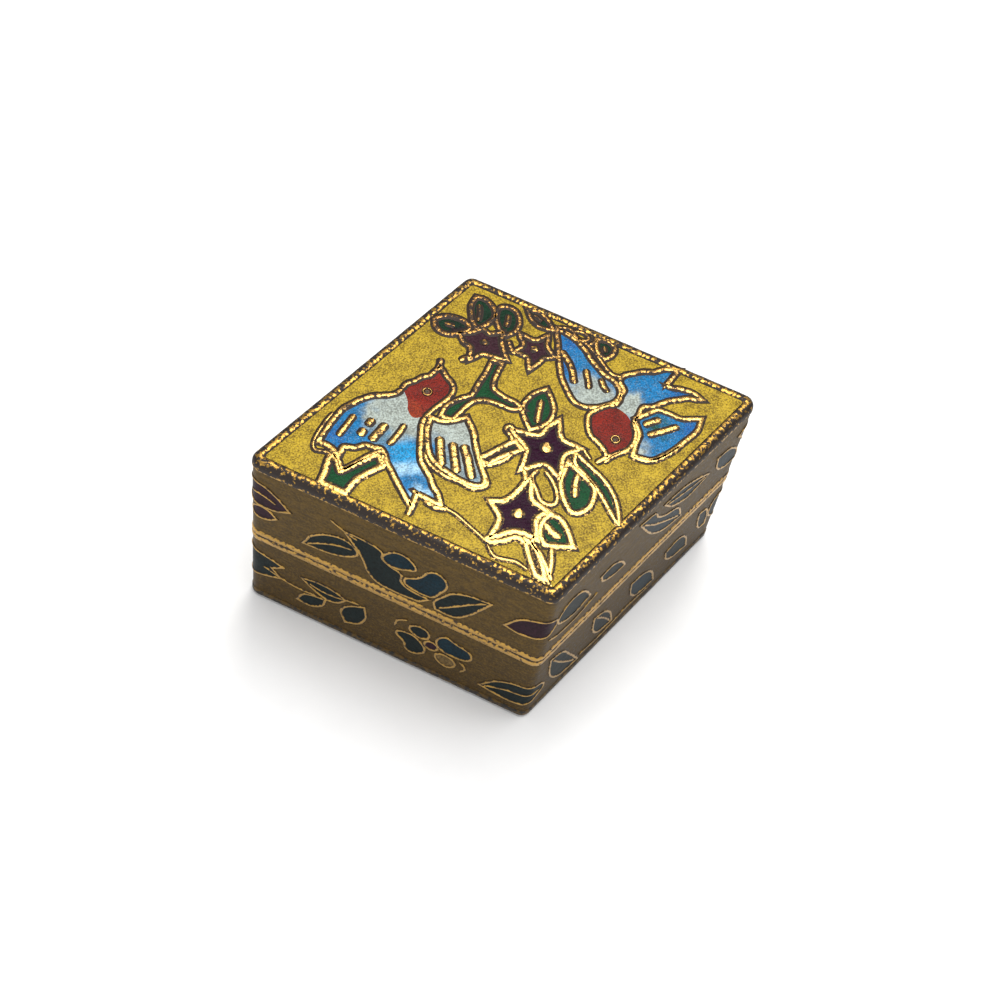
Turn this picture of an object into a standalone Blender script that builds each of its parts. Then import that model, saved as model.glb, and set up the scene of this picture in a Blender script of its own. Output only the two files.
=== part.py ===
"""Cloisonne pill box: a rhombic base and a lift-off lid, in metal and enamel.

Frame: origin at the centre of the footprint, on the surface the box stands on.
+X runs along the long diagonal, -Y points to the front corner and +Z is up.
Lengths are written in millimetres and turned into metres by the helpers.
"""
import math

import bmesh
import bpy
from mathutils import Matrix, Vector

MM = 0.001
TOUCH = 1e-6           # metres: points closer than this are one point

# ---- driving dimensions (mm, degrees) -----------------------------------------------
SIDE = 32.0            # length of each of the four equal sides
ACUTE = 73.9           # plan angle at the left and right corners
HEIGHT = 24.1          # overall height, lid on
SEAM = 11.7            # height of the joint between base and lid
CORNER_RADIUS = 1.2    # vertical corner edges
SEAM_GAP = 0.05        # lid rim to base rim, closed
FIT_GAP = 0.03         # between neighbouring pieces
SHELL_INSET = 0.58     # metal shell, in from the outer envelope
SHELL_WALL = 0.8
LINING = 0.3           # enamel on the inside faces
ENAMEL_SUNK = 0.05     # enamel, below the rims that bound it
RIM_DEPTH = 0.55       # how far a mouth rim goes in from the envelope
TOP_RIM_WIDTH = 1.05   # metal border around the lid's top
TOP_RIM_DROP = 1.15    # the same border, down the side
TOP_RIM_ROUND = 0.9
MOUTH_RIM_LID = 0.8
MOUTH_RIM_BASE = 1.0
FOOT_RIM = 1.0
FOOT_RIM_WIDTH = 1.0
FOOT_RISE = 0.52       # underside of the base shell
BOTTOM_RECESS = 0.15   # enamel of the underside, above the floor
COLLAR_INSET = 1.46    # collar slides inside the lid shell
COLLAR_WALL = 0.5
COLLAR_UP = 2.6        # above the seam
COLLAR_DOWN = 4.0      # below the seam
COLLAR_ROOM = 0.2      # lid lining above the collar
FOOT_ROUND = 0.25      # rounded edges: foot, mouth rims, collar, top of the lid's shell
MOUTH_ROUND = 0.12
COLLAR_ROUND = 0.15
SHELL_ROUND = 0.5
OVERCUT = 1.0          # how far a cutter reaches past the face it opens
POCKET_OVERCUT = 0.3
WIRE = 0.3             # width of the metal ridge around an enamel cell
PLATE = 0.15           # thickness of the metal that carries the ridges
RIDGE_PROUD = 0.04     # ridge tops, above the enamel
ARC_STEPS = 5          # straight pieces in a rounded corner
SMALLEST_RADIUS = 0.3  # of a corner, on the innermost outlines
SLOT_STEPS = 4         # straight pieces in the round end of a slot
DISC_STEPS = 12
LEAST_LEAN = 0.55      # sharper outline tips than this are cut short when an outline grows
CURVE_STEPS = 2        # straight pieces between two points of a pattern outline
STRAIGHT = math.radians(25)     # an outline that turns less between two points has one piece there

HALF_ACUTE = math.radians(ACUTE / 2)
SHELL_TOP = HEIGHT - 0.6
PLATE_LOW = SHELL_TOP + FIT_GAP
PATTERN_TURN = -HALF_ACUTE      # the pattern's u axis lies along the front left side
SHARP = True                    # third item of a pattern point where the outline turns sharply

# ---- finishes: colour, roughness, metallic -------------------------------------------
FINISHES = {
    "gilt_brass": ((0.50, 0.32, 0.09), 0.38, 1.0),
    "copper_body": ((0.45, 0.22, 0.12), 0.45, 1.0),
    "ochre_enamel": ((0.56, 0.36, 0.05), 0.30, 0.0),
    "brown_enamel": ((0.11, 0.075, 0.04), 0.35, 0.0),
    "red_enamel": ((0.40, 0.035, 0.015), 0.25, 0.0),
    "blue_enamel": ((0.02, 0.18, 0.55), 0.25, 0.0),
    "green_enamel": ((0.01, 0.08, 0.035), 0.25, 0.0),
    "purple_enamel": ((0.055, 0.015, 0.04), 0.25, 0.0),
    "teal_enamel": ((0.015, 0.04, 0.05), 0.30, 0.0),
    "lining_enamel": ((0.03, 0.22, 0.30), 0.30, 0.0),
}


# ---- scene helpers --------------------------------------------------------------------
def clear_scene():
    for obj in list(bpy.data.objects):
        bpy.data.objects.remove(obj, do_unlink=True)


def new_collection(name):
    collection = bpy.data.collections.new(name)
    bpy.context.scene.collection.children.link(collection)
    return collection


def finish(name):
    """The material of a finish, made once."""
    material = bpy.data.materials.get(name)
    if material is None:
        colour, roughness, metallic = FINISHES[name]
        material = bpy.data.materials.new(name)
        material.use_nodes = True
        shader = material.node_tree.nodes["Principled BSDF"]
        shader.inputs["Base Color"].default_value = (*colour, 1.0)
        shader.inputs["Roughness"].default_value = roughness
        shader.inputs["Metallic"].default_value = metallic
        material.diffuse_color = (*colour, 1.0)
    return material


# ---- outlines --------------------------------------------------------------------------
def plan(inset):
    """The box's rounded rhombus, moved in by an inset, counter-clockwise from the left corner."""
    radius = max(CORNER_RADIUS - inset, SMALLEST_RADIUS)
    reach = inset + radius
    centre_x = SIDE * math.cos(HALF_ACUTE) - reach / math.sin(HALF_ACUTE)
    centre_y = SIDE * math.sin(HALF_ACUTE) - reach / math.cos(HALF_ACUTE)
    corners = (
        ((-centre_x, 0.0), math.pi, math.pi / 2 - HALF_ACUTE),
        ((0.0, -centre_y), -math.pi / 2, HALF_ACUTE),
        ((centre_x, 0.0), 0.0, math.pi / 2 - HALF_ACUTE),
        ((0.0, centre_y), math.pi / 2, HALF_ACUTE),
    )
    points = []
    for (cx, cy), middle, half_sweep in corners:
        for step in range(ARC_STEPS + 1):
            angle = middle + half_sweep * (2 * step / ARC_STEPS - 1)
            points.append((cx + radius * math.cos(angle), cy + radius * math.sin(angle)))
    return points


def smooth(points):
    """A closed outline through its points; a point marked SHARP keeps its corner."""
    count = len(points)
    spots = [Vector(p[:2]) for p in points]
    outline = []
    for i in range(count):
        before, start, end, after = (spots[(i + k) % count] for k in (-1, 0, 1, 2))
        chord = end - start
        leave = chord if len(points[i]) == 3 else (end - before).normalized() * chord.length
        arrive = chord if len(points[(i + 1) % count]) == 3 else (after - start).normalized() * chord.length
        steps = CURVE_STEPS if leave.angle(arrive) > STRAIGHT else 1
        for step in range(steps):
            t = step / steps
            outline.append(
                start * (2 * t ** 3 - 3 * t ** 2 + 1) + leave * (t ** 3 - 2 * t ** 2 + t)
                + end * (3 * t ** 2 - 2 * t ** 3) + arrive * (t ** 3 - t ** 2)
            )
    area = sum(a.x * b.y - b.x * a.y for a, b in zip(outline, outline[1:] + outline[:1]))
    return outline if area > 0 else outline[::-1]


def slot(start, end, half_width):
    """A narrow cell with round ends between two points."""
    a, b = Vector(start), Vector(end)
    along = (b - a).normalized()
    outline = []
    for centre, direction in ((b, along), (a, -along)):
        heading = math.atan2(direction.y, direction.x)
        for step in range(SLOT_STEPS + 1):
            angle = heading + math.pi * (step / SLOT_STEPS - 0.5)
            outline.append(centre + half_width * Vector((math.cos(angle), math.sin(angle))))
    return outline


def disc(centre, radius):
    return [Vector(centre) + radius * Vector((math.cos(a), math.sin(a)))
            for a in (2 * math.pi * k / DISC_STEPS for k in range(DISC_STEPS))]


def grow(outline, distance):
    """Move a counter-clockwise outline outwards, with the points of sharp tips cut short."""
    count = len(outline)
    grown = []
    for i, here in enumerate(outline):
        into = (Vector(here) - Vector(outline[i - 1])).normalized()
        out = (Vector(outline[(i + 1) % count]) - Vector(here)).normalized()
        normal = Vector((into.y + out.y, -into.x - out.x))
        normal = normal.normalized() if normal.length > 1e-6 else Vector((into.y, -into.x))
        lean = max(normal.dot(Vector((into.y, -into.x))), LEAST_LEAN)
        grown.append(Vector(here) + normal * (distance / lean))
    return grown


# ---- solids ----------------------------------------------------------------------------
def flat_curve(name, loops, low, high):
    """A 2D curve with loops as its edges and holes, filled and extruded from low to high."""
    curve = bpy.data.curves.new(name, "CURVE")
    curve.dimensions = "2D"
    curve.fill_mode = "BOTH"
    curve.extrude = (high - low) / 2 * MM
    for loop in loops:
        spline = curve.splines.new("POLY")
        spline.points.add(len(loop) - 1)
        for point, (x, y) in zip(spline.points, loop):
            point.co = (x * MM, y * MM, 0.0, 1.0)
        spline.use_cyclic_u = True
    obj = bpy.data.objects.new(name, curve)
    obj.location.z = (low + high) / 2 * MM
    return obj


def to_mesh(obj, collection):
    """The mesh of a curve object, welded, in the curve's place."""
    collection.objects.link(obj)
    bpy.context.view_layer.update()
    evaluated = obj.evaluated_get(bpy.context.evaluated_depsgraph_get())
    mesh = bpy.data.meshes.new_from_object(evaluated)
    welded = bmesh.new()
    welded.from_mesh(mesh)
    bmesh.ops.remove_doubles(welded, verts=welded.verts, dist=TOUCH)
    bmesh.ops.recalc_face_normals(welded, faces=welded.faces)
    welded.to_mesh(mesh)
    welded.free()
    name = obj.name
    place = obj.matrix_world.copy()
    parent = obj.parent
    bpy.data.objects.remove(obj, do_unlink=True)
    solid = bpy.data.objects.new(name, mesh)
    solid.parent = parent
    solid.matrix_world = place
    collection.objects.link(solid)
    return solid


def prism(name, loops, low, high, collection, round_edge=None):
    """A mesh prism on loops; round_edge is (height, width, steps) of an outer edge to round."""
    solid = to_mesh(flat_curve(name, loops, low, high), collection)
    if round_edge:
        level, width, steps = round_edge
        local_level = (level - (low + high) / 2) * MM
        outer = [Vector(point) * MM for point in loops[0]]
        mesh = solid.data
        weights = mesh.attributes.new("bevel_weight_edge", "FLOAT", "EDGE")
        for edge in mesh.edges:
            ends = [mesh.vertices[v].co for v in edge.vertices]
            if all(abs(co.z - local_level) < TOUCH for co in ends) and joins_neighbours(ends, outer):
                weights.data[edge.index].value = 1.0
        bevel = solid.modifiers.new("rounded_edge", "BEVEL")
        bevel.limit_method = "WEIGHT"
        bevel.width = width * MM
        bevel.segments = steps
    return solid


def joins_neighbours(ends, outer):
    """True where two points lie on a closed outline, one place apart."""
    places = [min(range(len(outer)), key=lambda k: (co.xy - outer[k]).length) for co in ends]
    on_outline = all((co.xy - outer[k]).length < TOUCH for co, k in zip(ends, places))
    return on_outline and abs(places[0] - places[1]) in (1, len(outer) - 1)


def add_boolean(solid, tool, operation):
    """A Boolean with a tool that stays as a guide."""
    tool.hide_render = True
    tool.display_type = "WIRE"
    boolean = solid.modifiers.new(tool.name, "BOOLEAN")
    boolean.operation = operation
    boolean.solver = "EXACT"
    boolean.object = tool


def cut(solid, tool):
    add_boolean(solid, tool, "DIFFERENCE")


def join(solid, tool):
    add_boolean(solid, tool, "UNION")


def set_finish(obj, name):
    obj.data.materials.clear()
    obj.data.materials.append(finish(name))
    return obj


# ---- metal body and linings --------------------------------------------------------------
def make_base(parts, cutters):
    """Shell, rims, collar, lining and underside of the base."""
    shell_floor = FOOT_RISE + FIT_GAP
    inside = SHELL_INSET + SHELL_WALL
    shell = prism("base_shell", [plan(SHELL_INSET)], shell_floor, SEAM - SEAM_GAP, parts)
    cut(shell, prism("base_hollow", [plan(inside)], shell_floor + SHELL_WALL,
                     SEAM + OVERCUT, cutters))
    set_finish(shell, "copper_body")

    foot = prism("base_foot_rim", [plan(0), plan(FOOT_RIM_WIDTH)], 0, FOOT_RIM, parts, (0, FOOT_ROUND, 2))
    cut(foot, prism("foot_seat", [plan(RIM_DEPTH)], FOOT_RISE, FOOT_RIM + OVERCUT, cutters))
    set_finish(foot, "gilt_brass")

    mouth = prism("base_mouth_rim", [plan(0), plan(RIM_DEPTH)], SEAM - MOUTH_RIM_BASE,
                  SEAM - SEAM_GAP / 2, parts, (SEAM - SEAM_GAP / 2, MOUTH_ROUND, 1))
    set_finish(mouth, "gilt_brass")

    collar_edge = COLLAR_INSET + COLLAR_WALL
    collar = prism("base_collar", [plan(COLLAR_INSET), plan(collar_edge)], SEAM - COLLAR_DOWN,
                   SEAM + COLLAR_UP, parts, (SEAM + COLLAR_UP, COLLAR_ROUND, 1))
    set_finish(collar, "gilt_brass")

    lining_floor = shell_floor + SHELL_WALL + FIT_GAP
    lining = prism("base_inside_enamel", [plan(inside + FIT_GAP)], lining_floor,
                   SEAM - COLLAR_DOWN - FIT_GAP, parts)
    hollow = prism("base_lining_hollow", [plan(inside + FIT_GAP + LINING)], lining_floor + LINING,
                   SEAM, cutters)
    cut(lining, hollow)
    set_finish(lining, "lining_enamel")

    under = prism("base_bottom_enamel", [plan(FOOT_RIM_WIDTH + FIT_GAP)], BOTTOM_RECESS, FOOT_RISE, parts)
    set_finish(under, "lining_enamel")


def make_lid(parts, cutters):
    """Shell, rims and lining of the lid."""
    inside = SHELL_INSET + SHELL_WALL
    shell = prism("lid_shell", [plan(SHELL_INSET)], SEAM + SEAM_GAP, SHELL_TOP, parts,
                  (SHELL_TOP, SHELL_ROUND, 2))
    cut(shell, prism("lid_hollow", [plan(inside)], SEAM - OVERCUT, SHELL_TOP - SHELL_WALL, cutters))
    set_finish(shell, "copper_body")

    rim = prism("lid_top_rim", [plan(0), plan(TOP_RIM_WIDTH)], HEIGHT - TOP_RIM_DROP, HEIGHT, parts,
                (HEIGHT, TOP_RIM_ROUND, 4))
    seat = prism("top_rim_seat", [plan(RIM_DEPTH)], HEIGHT - TOP_RIM_DROP - OVERCUT, PLATE_LOW, cutters,
                 (PLATE_LOW, SHELL_ROUND, 2))
    cut(rim, seat)
    set_finish(rim, "gilt_brass")

    mouth = prism("lid_mouth_rim", [plan(0), plan(RIM_DEPTH)], SEAM + SEAM_GAP / 2,
                  SEAM + MOUTH_RIM_LID, parts, (SEAM + SEAM_GAP / 2, MOUTH_ROUND, 1))
    set_finish(mouth, "gilt_brass")

    lining_top = SHELL_TOP - SHELL_WALL - FIT_GAP
    lining_foot = SEAM + COLLAR_UP + COLLAR_ROOM
    lining = prism("lid_inside_enamel", [plan(inside + FIT_GAP)], lining_foot, lining_top, parts)
    hollow = prism("lid_lining_hollow", [plan(inside + FIT_GAP + LINING)], SEAM, lining_top - LINING, cutters)
    cut(lining, hollow)
    set_finish(lining, "lining_enamel")


# ---- the pattern on the lid's top: u along the front left side, v across it (mm) -----------
LEFT_BIRD_HEAD = [(-8.9, 3.0, SHARP), (-8.0, 2.3), (-7.2, 1.8), (-6.8, 0.9), (-7.0, 0.0), (-7.4, -1.0),
                  (-7.7, -2.0), (-8.1, -2.7), (-8.8, -2.9), (-9.5, -2.5), (-10.3, -1.7), (-10.85, -1.0),
                  (-10.85, -0.3), (-10.3, 0.4), (-9.9, 1.1), (-9.3, 1.8)]
LEFT_BIRD_BODY = [(-11.9, -2.6), (-13.0, -3.2), (-13.9, -4.2), (-14.5, -5.3), (-14.9, -6.6), (-15.0, -8.2),
                  (-15.0, -10.0, SHARP), (-14.2, -9.7), (-13.3, -10.2, SHARP), (-12.2, -9.1), (-10.6, -8.4),
                  (-9.4, -8.3), (-8.3, -9.2), (-7.0, -10.2), (-5.9, -11.1), (-4.7, -12.0, SHARP),
                  (-5.0, -10.8, SHARP), (-2.7, -10.9, SHARP), (-3.8, -9.7), (-5.3, -8.4), (-6.3, -7.3),
                  (-7.0, -6.2), (-7.6, -5.0), (-8.1, -3.8), (-9.0, -3.7), (-9.9, -3.3), (-10.8, -2.6)]
LEFT_BIRD_BODY_SLOTS = [((-13.8, -6.2), (-14.0, -8.5), 0.2), ((-12.0, -5.6), (-12.3, -7.5), 0.3),
                        ((-10.7, -5.2), (-11.0, -7.2), 0.3), ((-9.1, -5.0), (-9.3, -7.2), 0.25)]
LEFT_BIRD_WING = [(-7.0, -2.9, SHARP), (-5.6, -2.7), (-4.9, -1.9), (-4.2, -1.4, SHARP), (-3.1, -2.5),
                  (-2.2, -3.7), (-1.3, -4.9), (-0.5, -5.9), (0.1, -6.9), (-0.9, -7.2), (-2.2, -7.2),
                  (-3.6, -7.0), (-4.8, -6.4), (-5.7, -5.5), (-6.4, -4.3)]
LEFT_BIRD_WING_SLOTS = [((-5.4, -4.4), (-4.5, -5.8), 0.22), ((-4.1, -4.2), (-2.9, -6.4), 0.25),
                        ((-2.8, -4.1), (-1.1, -6.6), 0.25)]
RIGHT_BIRD_HEAD = [(6.9, 6.2), (7.5, 6.8), (8.3, 7.0), (9.2, 6.9), (9.9, 6.3), (10.6, 5.6), (10.9, 4.8),
                   (10.9, 3.8), (10.6, 3.0), (10.0, 2.3), (9.55, 1.6, SHARP), (8.9, 2.4), (8.0, 2.9),
                   (7.1, 3.4), (6.4, 4.4), (6.3, 5.4)]
RIGHT_BIRD_BODY = [(7.5, 10.6), (7.4, 11.2), (8.0, 11.7), (8.9, 12.3), (9.8, 12.9), (10.8, 13.4, SHARP),
                   (11.1, 12.0, SHARP), (12.0, 12.1), (12.9, 12.4), (14.6, 12.4, SHARP), (13.3, 11.6),
                   (12.2, 10.8), (11.5, 10.0), (10.6, 9.2), (10.0, 8.5), (9.3, 8.1), (8.4, 8.1), (8.2, 9.0),
                   (8.0, 9.9)]
RIGHT_BIRD_LEFT_WING = [(-0.5, 12.9, SHARP), (1.1, 12.7), (2.4, 12.1), (3.4, 11.3), (4.7, 10.5), (6.2, 10.1),
                        (7.1, 9.5), (7.3, 8.8), (7.0, 7.9), (6.0, 6.9), (5.2, 6.3), (4.2, 6.2), (3.3, 6.7),
                        (2.5, 7.6), (1.7, 8.7), (1.0, 10.0), (0.5, 11.2)]
RIGHT_BIRD_LEFT_WING_SLOTS = [((1.8, 10.0), (3.1, 8.2), 0.22), ((3.5, 10.3), (4.6, 8.5), 0.22),
                              ((5.3, 9.6), (6.3, 8.5), 0.22)]
RIGHT_BIRD_RIGHT_WING = [(10.7, 6.7, SHARP), (11.0, 7.6), (11.6, 8.6), (12.9, 8.9), (14.1, 9.0),
                         (15.6, 9.6, SHARP), (15.4, 8.2), (14.8, 6.8), (14.1, 5.4), (13.3, 4.2), (12.3, 3.6),
                         (11.7, 3.5, SHARP), (11.7, 4.5), (11.6, 5.5)]
RIGHT_BIRD_RIGHT_WING_SLOTS = [((11.6, 7.0), (12.5, 8.0), 0.22), ((12.4, 5.8), (14.1, 7.9), 0.25)]

BLOSSOMS = {
    "centre": ([(3.75, 2.6, SHARP), (4.2, 1.6), (5.0, 1.0), (6.5, 0.9, SHARP), (5.7, -0.1), (5.6, -1.2),
                (6.1, -2.5, SHARP), (5.1, -2.1), (4.3, -2.1), (3.0, -3.4, SHARP), (2.8, -2.2), (2.4, -1.3),
                (0.8, -0.3, SHARP), (2.2, 0.1), (3.05, 0.6), (3.3, 1.6)], ((3.95, -0.4), 0.55)),
    "front": ([(4.1, -4.9, SHARP), (4.5, -5.9), (5.3, -6.8), (6.6, -7.1, SHARP), (6.15, -8.0), (6.2, -8.7),
               (6.9, -9.9, SHARP), (5.9, -9.9), (4.9, -10.2), (3.7, -11.4, SHARP), (3.6, -10.2),
               (3.3, -9.4), (2.3, -8.5, SHARP), (3.3, -7.9), (3.9, -7.2), (4.0, -6.0)], ((4.66, -8.4), 0.5)),
    "back_left": ([(-8.7, 7.9, SHARP), (-8.0, 8.5), (-7.4, 9.3, SHARP), (-6.5, 9.1), (-5.7, 9.4, SHARP),
                   (-5.2, 8.7), (-4.3, 7.5, SHARP), (-5.2, 7.3), (-6.2, 7.0), (-6.8, 6.1, SHARP),
                   (-7.3, 7.1), (-8.1, 7.4)], ((-6.6, 8.1), 0.25)),
    "back_right": ([(-1.4, 11.5, SHARP), (-1.1, 10.5), (-0.2, 9.9, SHARP), (-0.9, 9.4), (-1.1, 8.6),
                    (-1.4, 7.9, SHARP), (-2.0, 8.8), (-3.1, 9.0, SHARP), (-2.8, 9.8), (-3.5, 10.5, SHARP),
                    (-2.5, 10.5), (-1.9, 10.8)], ((-1.85, 9.85), 0.3)),
}

BRANCH = [(-5.0, 6.2, SHARP), (-4.2, 6.2, SHARP), (-4.05, 5.2), (-3.9, 4.2), (-3.4, 3.4), (-2.4, 2.95),
          (-0.95, 2.8, SHARP), (-0.95, 2.35, SHARP), (-2.4, 2.25), (-3.6, 1.95), (-4.3, 1.4), (-4.8, 0.5),
          (-5.2, -0.6), (-5.6, -1.5, SHARP), (-6.3, -1.5, SHARP), (-5.9, -0.3), (-5.3, 0.9), (-4.8, 1.9),
          (-4.7, 3.3), (-4.8, 4.8)]
STUMP = [(-9.75, -9.6, SHARP), (-9.1, -10.0, SHARP), (-10.0, -11.4), (-10.5, -12.5), (-10.7, -13.7, SHARP),
         (-12.6, -13.7, SHARP), (-12.8, -12.6), (-13.2, -11.4, SHARP), (-12.6, -12.0), (-11.9, -12.3),
         (-11.3, -11.8), (-10.6, -10.8)]
STALK = [(1.0, -1.6, SHARP), (1.6, -1.95, SHARP), (0.6, -3.1), (-0.2, -4.4, SHARP), (-0.7, -4.1, SHARP),
         (0.2, -2.9)]
STEM = [(6.95, -11.1, SHARP), (7.4, -11.3), (8.3, -12.3), (9.2, -13.4, SHARP), (8.6, -13.3), (7.8, -12.4)]
LONG_LEAF = [(7.1, -0.05, SHARP), (8.6, -0.55), (10.2, -1.3), (11.4, -2.2), (12.4, -3.3), (12.9, -4.4, SHARP),
             (11.9, -3.6), (11.0, -2.8), (10.0, -2.05), (8.6, -1.25), (7.3, -0.7)]
LEAVES = {
    "middle": ([(1.2, 5.6, SHARP), (2.1, 4.7), (2.6, 3.8), (2.7, 2.8), (2.3, 1.8), (1.7, 1.2, SHARP),
                (1.0, 1.7), (0.4, 2.5), (0.2, 3.6), (0.5, 4.8)], [((1.3, 4.2), (1.75, 2.2), 0.2)]),
    "right": ([(7.1, -1.6, SHARP), (8.0, -1.95), (9.1, -2.5), (9.7, -3.5), (9.9, -4.6), (9.5, -5.3),
               (9.0, -5.6), (8.3, -5.1), (7.6, -4.2), (7.15, -3.0)], [((8.0, -2.6), (8.5, -4.0), 0.28)]),
    "front": ([(7.6, -7.5, SHARP), (8.5, -7.5), (9.4, -8.3), (10.1, -9.2, SHARP), (9.3, -9.65),
               (8.4, -10.0, SHARP), (7.7, -9.2), (7.5, -8.4)], [((8.2, -8.5), (8.9, -8.9), 0.28)]),
    "left": ([(-11.8, 8.5, SHARP), (-11.0, 9.1), (-9.9, 9.15), (-9.45, 8.7), (-9.8, 7.8), (-10.7, 7.6),
              (-11.5, 7.9)], []),
    "back_left": ([(-9.5, 12.7, SHARP), (-8.9, 12.2), (-8.4, 11.3), (-8.1, 10.6), (-8.35, 10.0, SHARP),
                   (-8.9, 10.6), (-9.3, 11.4)], []),
    "back_middle": ([(-5.7, 12.9, SHARP), (-5.0, 12.4), (-4.6, 11.6), (-4.7, 11.1), (-5.1, 10.7, SHARP),
                     (-5.6, 11.3), (-5.7, 12.0)], []),
    "edge_left": ([(-4.0, 13.75, SHARP), (-2.9, 13.7), (-1.7, 13.3, SHARP), (-2.1, 12.9), (-3.1, 13.1)], []),
    "edge_right": ([(3.4, 13.75, SHARP), (4.3, 13.85), (5.0, 13.6), (4.9, 12.9), (4.6, 12.5, SHARP),
                    (4.0, 13.0)], []),
}
TOP_CELLS = {
    "left_bird_head": ("red_enamel", LEFT_BIRD_HEAD, [((-8.8, -0.1), 0.42)]),
    "left_bird_body": ("blue_enamel", LEFT_BIRD_BODY, LEFT_BIRD_BODY_SLOTS),
    "left_bird_wing": ("blue_enamel", LEFT_BIRD_WING, LEFT_BIRD_WING_SLOTS),
    "right_bird_head": ("red_enamel", RIGHT_BIRD_HEAD, [((9.4, 3.75), 0.42)]),
    "right_bird_body": ("blue_enamel", RIGHT_BIRD_BODY, []),
    "right_bird_left_wing": ("blue_enamel", RIGHT_BIRD_LEFT_WING, RIGHT_BIRD_LEFT_WING_SLOTS),
    "right_bird_right_wing": ("blue_enamel", RIGHT_BIRD_RIGHT_WING, RIGHT_BIRD_RIGHT_WING_SLOTS),
    **{f"{name}_blossom": ("purple_enamel", outline, [centre]) for name, (outline, centre) in BLOSSOMS.items()},
    "branch": ("green_enamel", BRANCH, []),
    "stump": ("green_enamel", STUMP, []),
    "stalk": ("green_enamel", STALK, []),
    "stem": ("green_enamel", STEM, []),
    "long_leaf": ("green_enamel", LONG_LEAF, []),
    **{f"{name}_leaf": ("green_enamel", outline, slots) for name, (outline, slots) in LEAVES.items()},
}


class Pattern:
    """The cells of one field: enamel solids, and the outlines of the metal ridges around them."""

    def __init__(self, parts, axes, low, high):
        self.parts, self.axes, self.low, self.high = parts, axes, low, high
        self.ridges = []
        self.holes = []

    def cell(self, name, finish_name, outline, slots=()):
        """One enamel cell with its ridge; slots are islands of metal inside it."""
        loops = [outline] + [grow(hole, FIT_GAP) for hole in slots]
        self.ridges += [grow(outline, FIT_GAP), grow(outline, FIT_GAP + WIRE), *slots]
        self.holes.append(grow(outline, WIRE + 2 * FIT_GAP))
        self.enamel(name, finish_name, loops)

    def enamel(self, name, finish_name, loops):
        obj = flat_curve(name, loops, self.low, self.high)
        obj.parent = self.axes
        self.parts.objects.link(obj)
        set_finish(obj, finish_name)

    def ridge_tool(self, name, tools):
        """All the ridges as one joining tool, reaching into the plate that carries them."""
        tool = flat_curve(name, self.ridges, self.low - FIT_GAP - PLATE / 2, self.high + RIDGE_PROUD)
        tool.parent = self.axes
        return to_mesh(tool, tools)


def make_top(parts, tools):
    """The lid's top plate with its ridges, the enamel ground and the cells of the pattern."""
    axes = bpy.data.objects.new("lid_pattern_axes", None)
    axes.rotation_euler.z = PATTERN_TURN
    parts.objects.link(axes)
    top = Pattern(parts, axes, PLATE_LOW + PLATE + FIT_GAP, HEIGHT - ENAMEL_SUNK)

    for name, (finish_name, outline, slots) in TOP_CELLS.items():
        islands = [disc(*s) if len(s) == 2 else slot(*s) for s in slots]
        top.cell(f"lid_{name}_enamel", finish_name, smooth(outline), islands)

    turn = Matrix.Rotation(-PATTERN_TURN, 2)
    top.enamel("lid_top_ground_enamel", "ochre_enamel",
               [[turn @ Vector(p) for p in plan(TOP_RIM_WIDTH + FIT_GAP)]] + top.holes)
    plate = prism("lid_top_plate", [plan(TOP_RIM_WIDTH + FIT_GAP)], PLATE_LOW, PLATE_LOW + PLATE, parts)
    join(plate, top.ridge_tool("lid_top_ridges", tools))
    set_finish(plate, "gilt_brass")


# ---- the patterns on the sides: s along the side from its left end, z up (mm) -----------------
LID_SIDE_A = {
    "branch": [(11.2, 19.2, SHARP), (12.8, 19.1), (13.9, 18.4), (14.2, 17.2), (15.0, 16.2), (16.2, 15.4),
               (16.9, 14.2), (18.6, 13.4, SHARP), (15.0, 13.4, SHARP), (13.9, 14.4), (13.2, 16.2),
               (12.4, 17.7)],
    "left_bud": [(15.2, 17.7), (15.3, 18.8), (16.2, 19.5), (17.2, 19.4), (17.9, 18.6), (17.2, 17.9),
                 (16.2, 17.3)],
    "right_bud": [(19.1, 17.3), (18.4, 16.5), (17.6, 15.7), (17.9, 15.0), (19.0, 14.8), (19.9, 15.2),
                  (20.5, 16.4), (21.0, 17.8), (20.8, 18.7), (20.1, 19.0), (19.5, 18.4)],
    "left_leaf": [(7.2, 14.2, SHARP), (7.9, 15.9), (9.0, 17.1), (10.2, 17.7), (11.0, 17.6), (11.5, 16.5),
                  (10.9, 15.4), (9.3, 14.6)],
    "right_leaf": [(25.5, 18.1, SHARP), (23.8, 17.8), (22.5, 17.0), (21.6, 15.6), (20.9, 14.4),
                   (21.2, 13.5, SHARP), (22.8, 13.6), (24.1, 15.2), (24.9, 16.7)],
}
BASE_SIDE_A = {
    "leaf": [(11.8, 3.0, SHARP), (11.6, 4.4), (12.1, 5.8), (13.2, 6.7, SHARP), (13.2, 5.2), (12.7, 3.9)],
    "left_petal": [(17.6, 5.2), (18.7, 5.8), (19.6, 5.2), (20.1, 4.2), (19.5, 3.2), (18.8, 3.2), (18.3, 4.2)],
    "right_petal": [(22.0, 7.1), (22.6, 8.0), (23.5, 7.7), (24.6, 7.3), (24.8, 6.5), (23.7, 6.1), (22.5, 6.2)],
}
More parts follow.
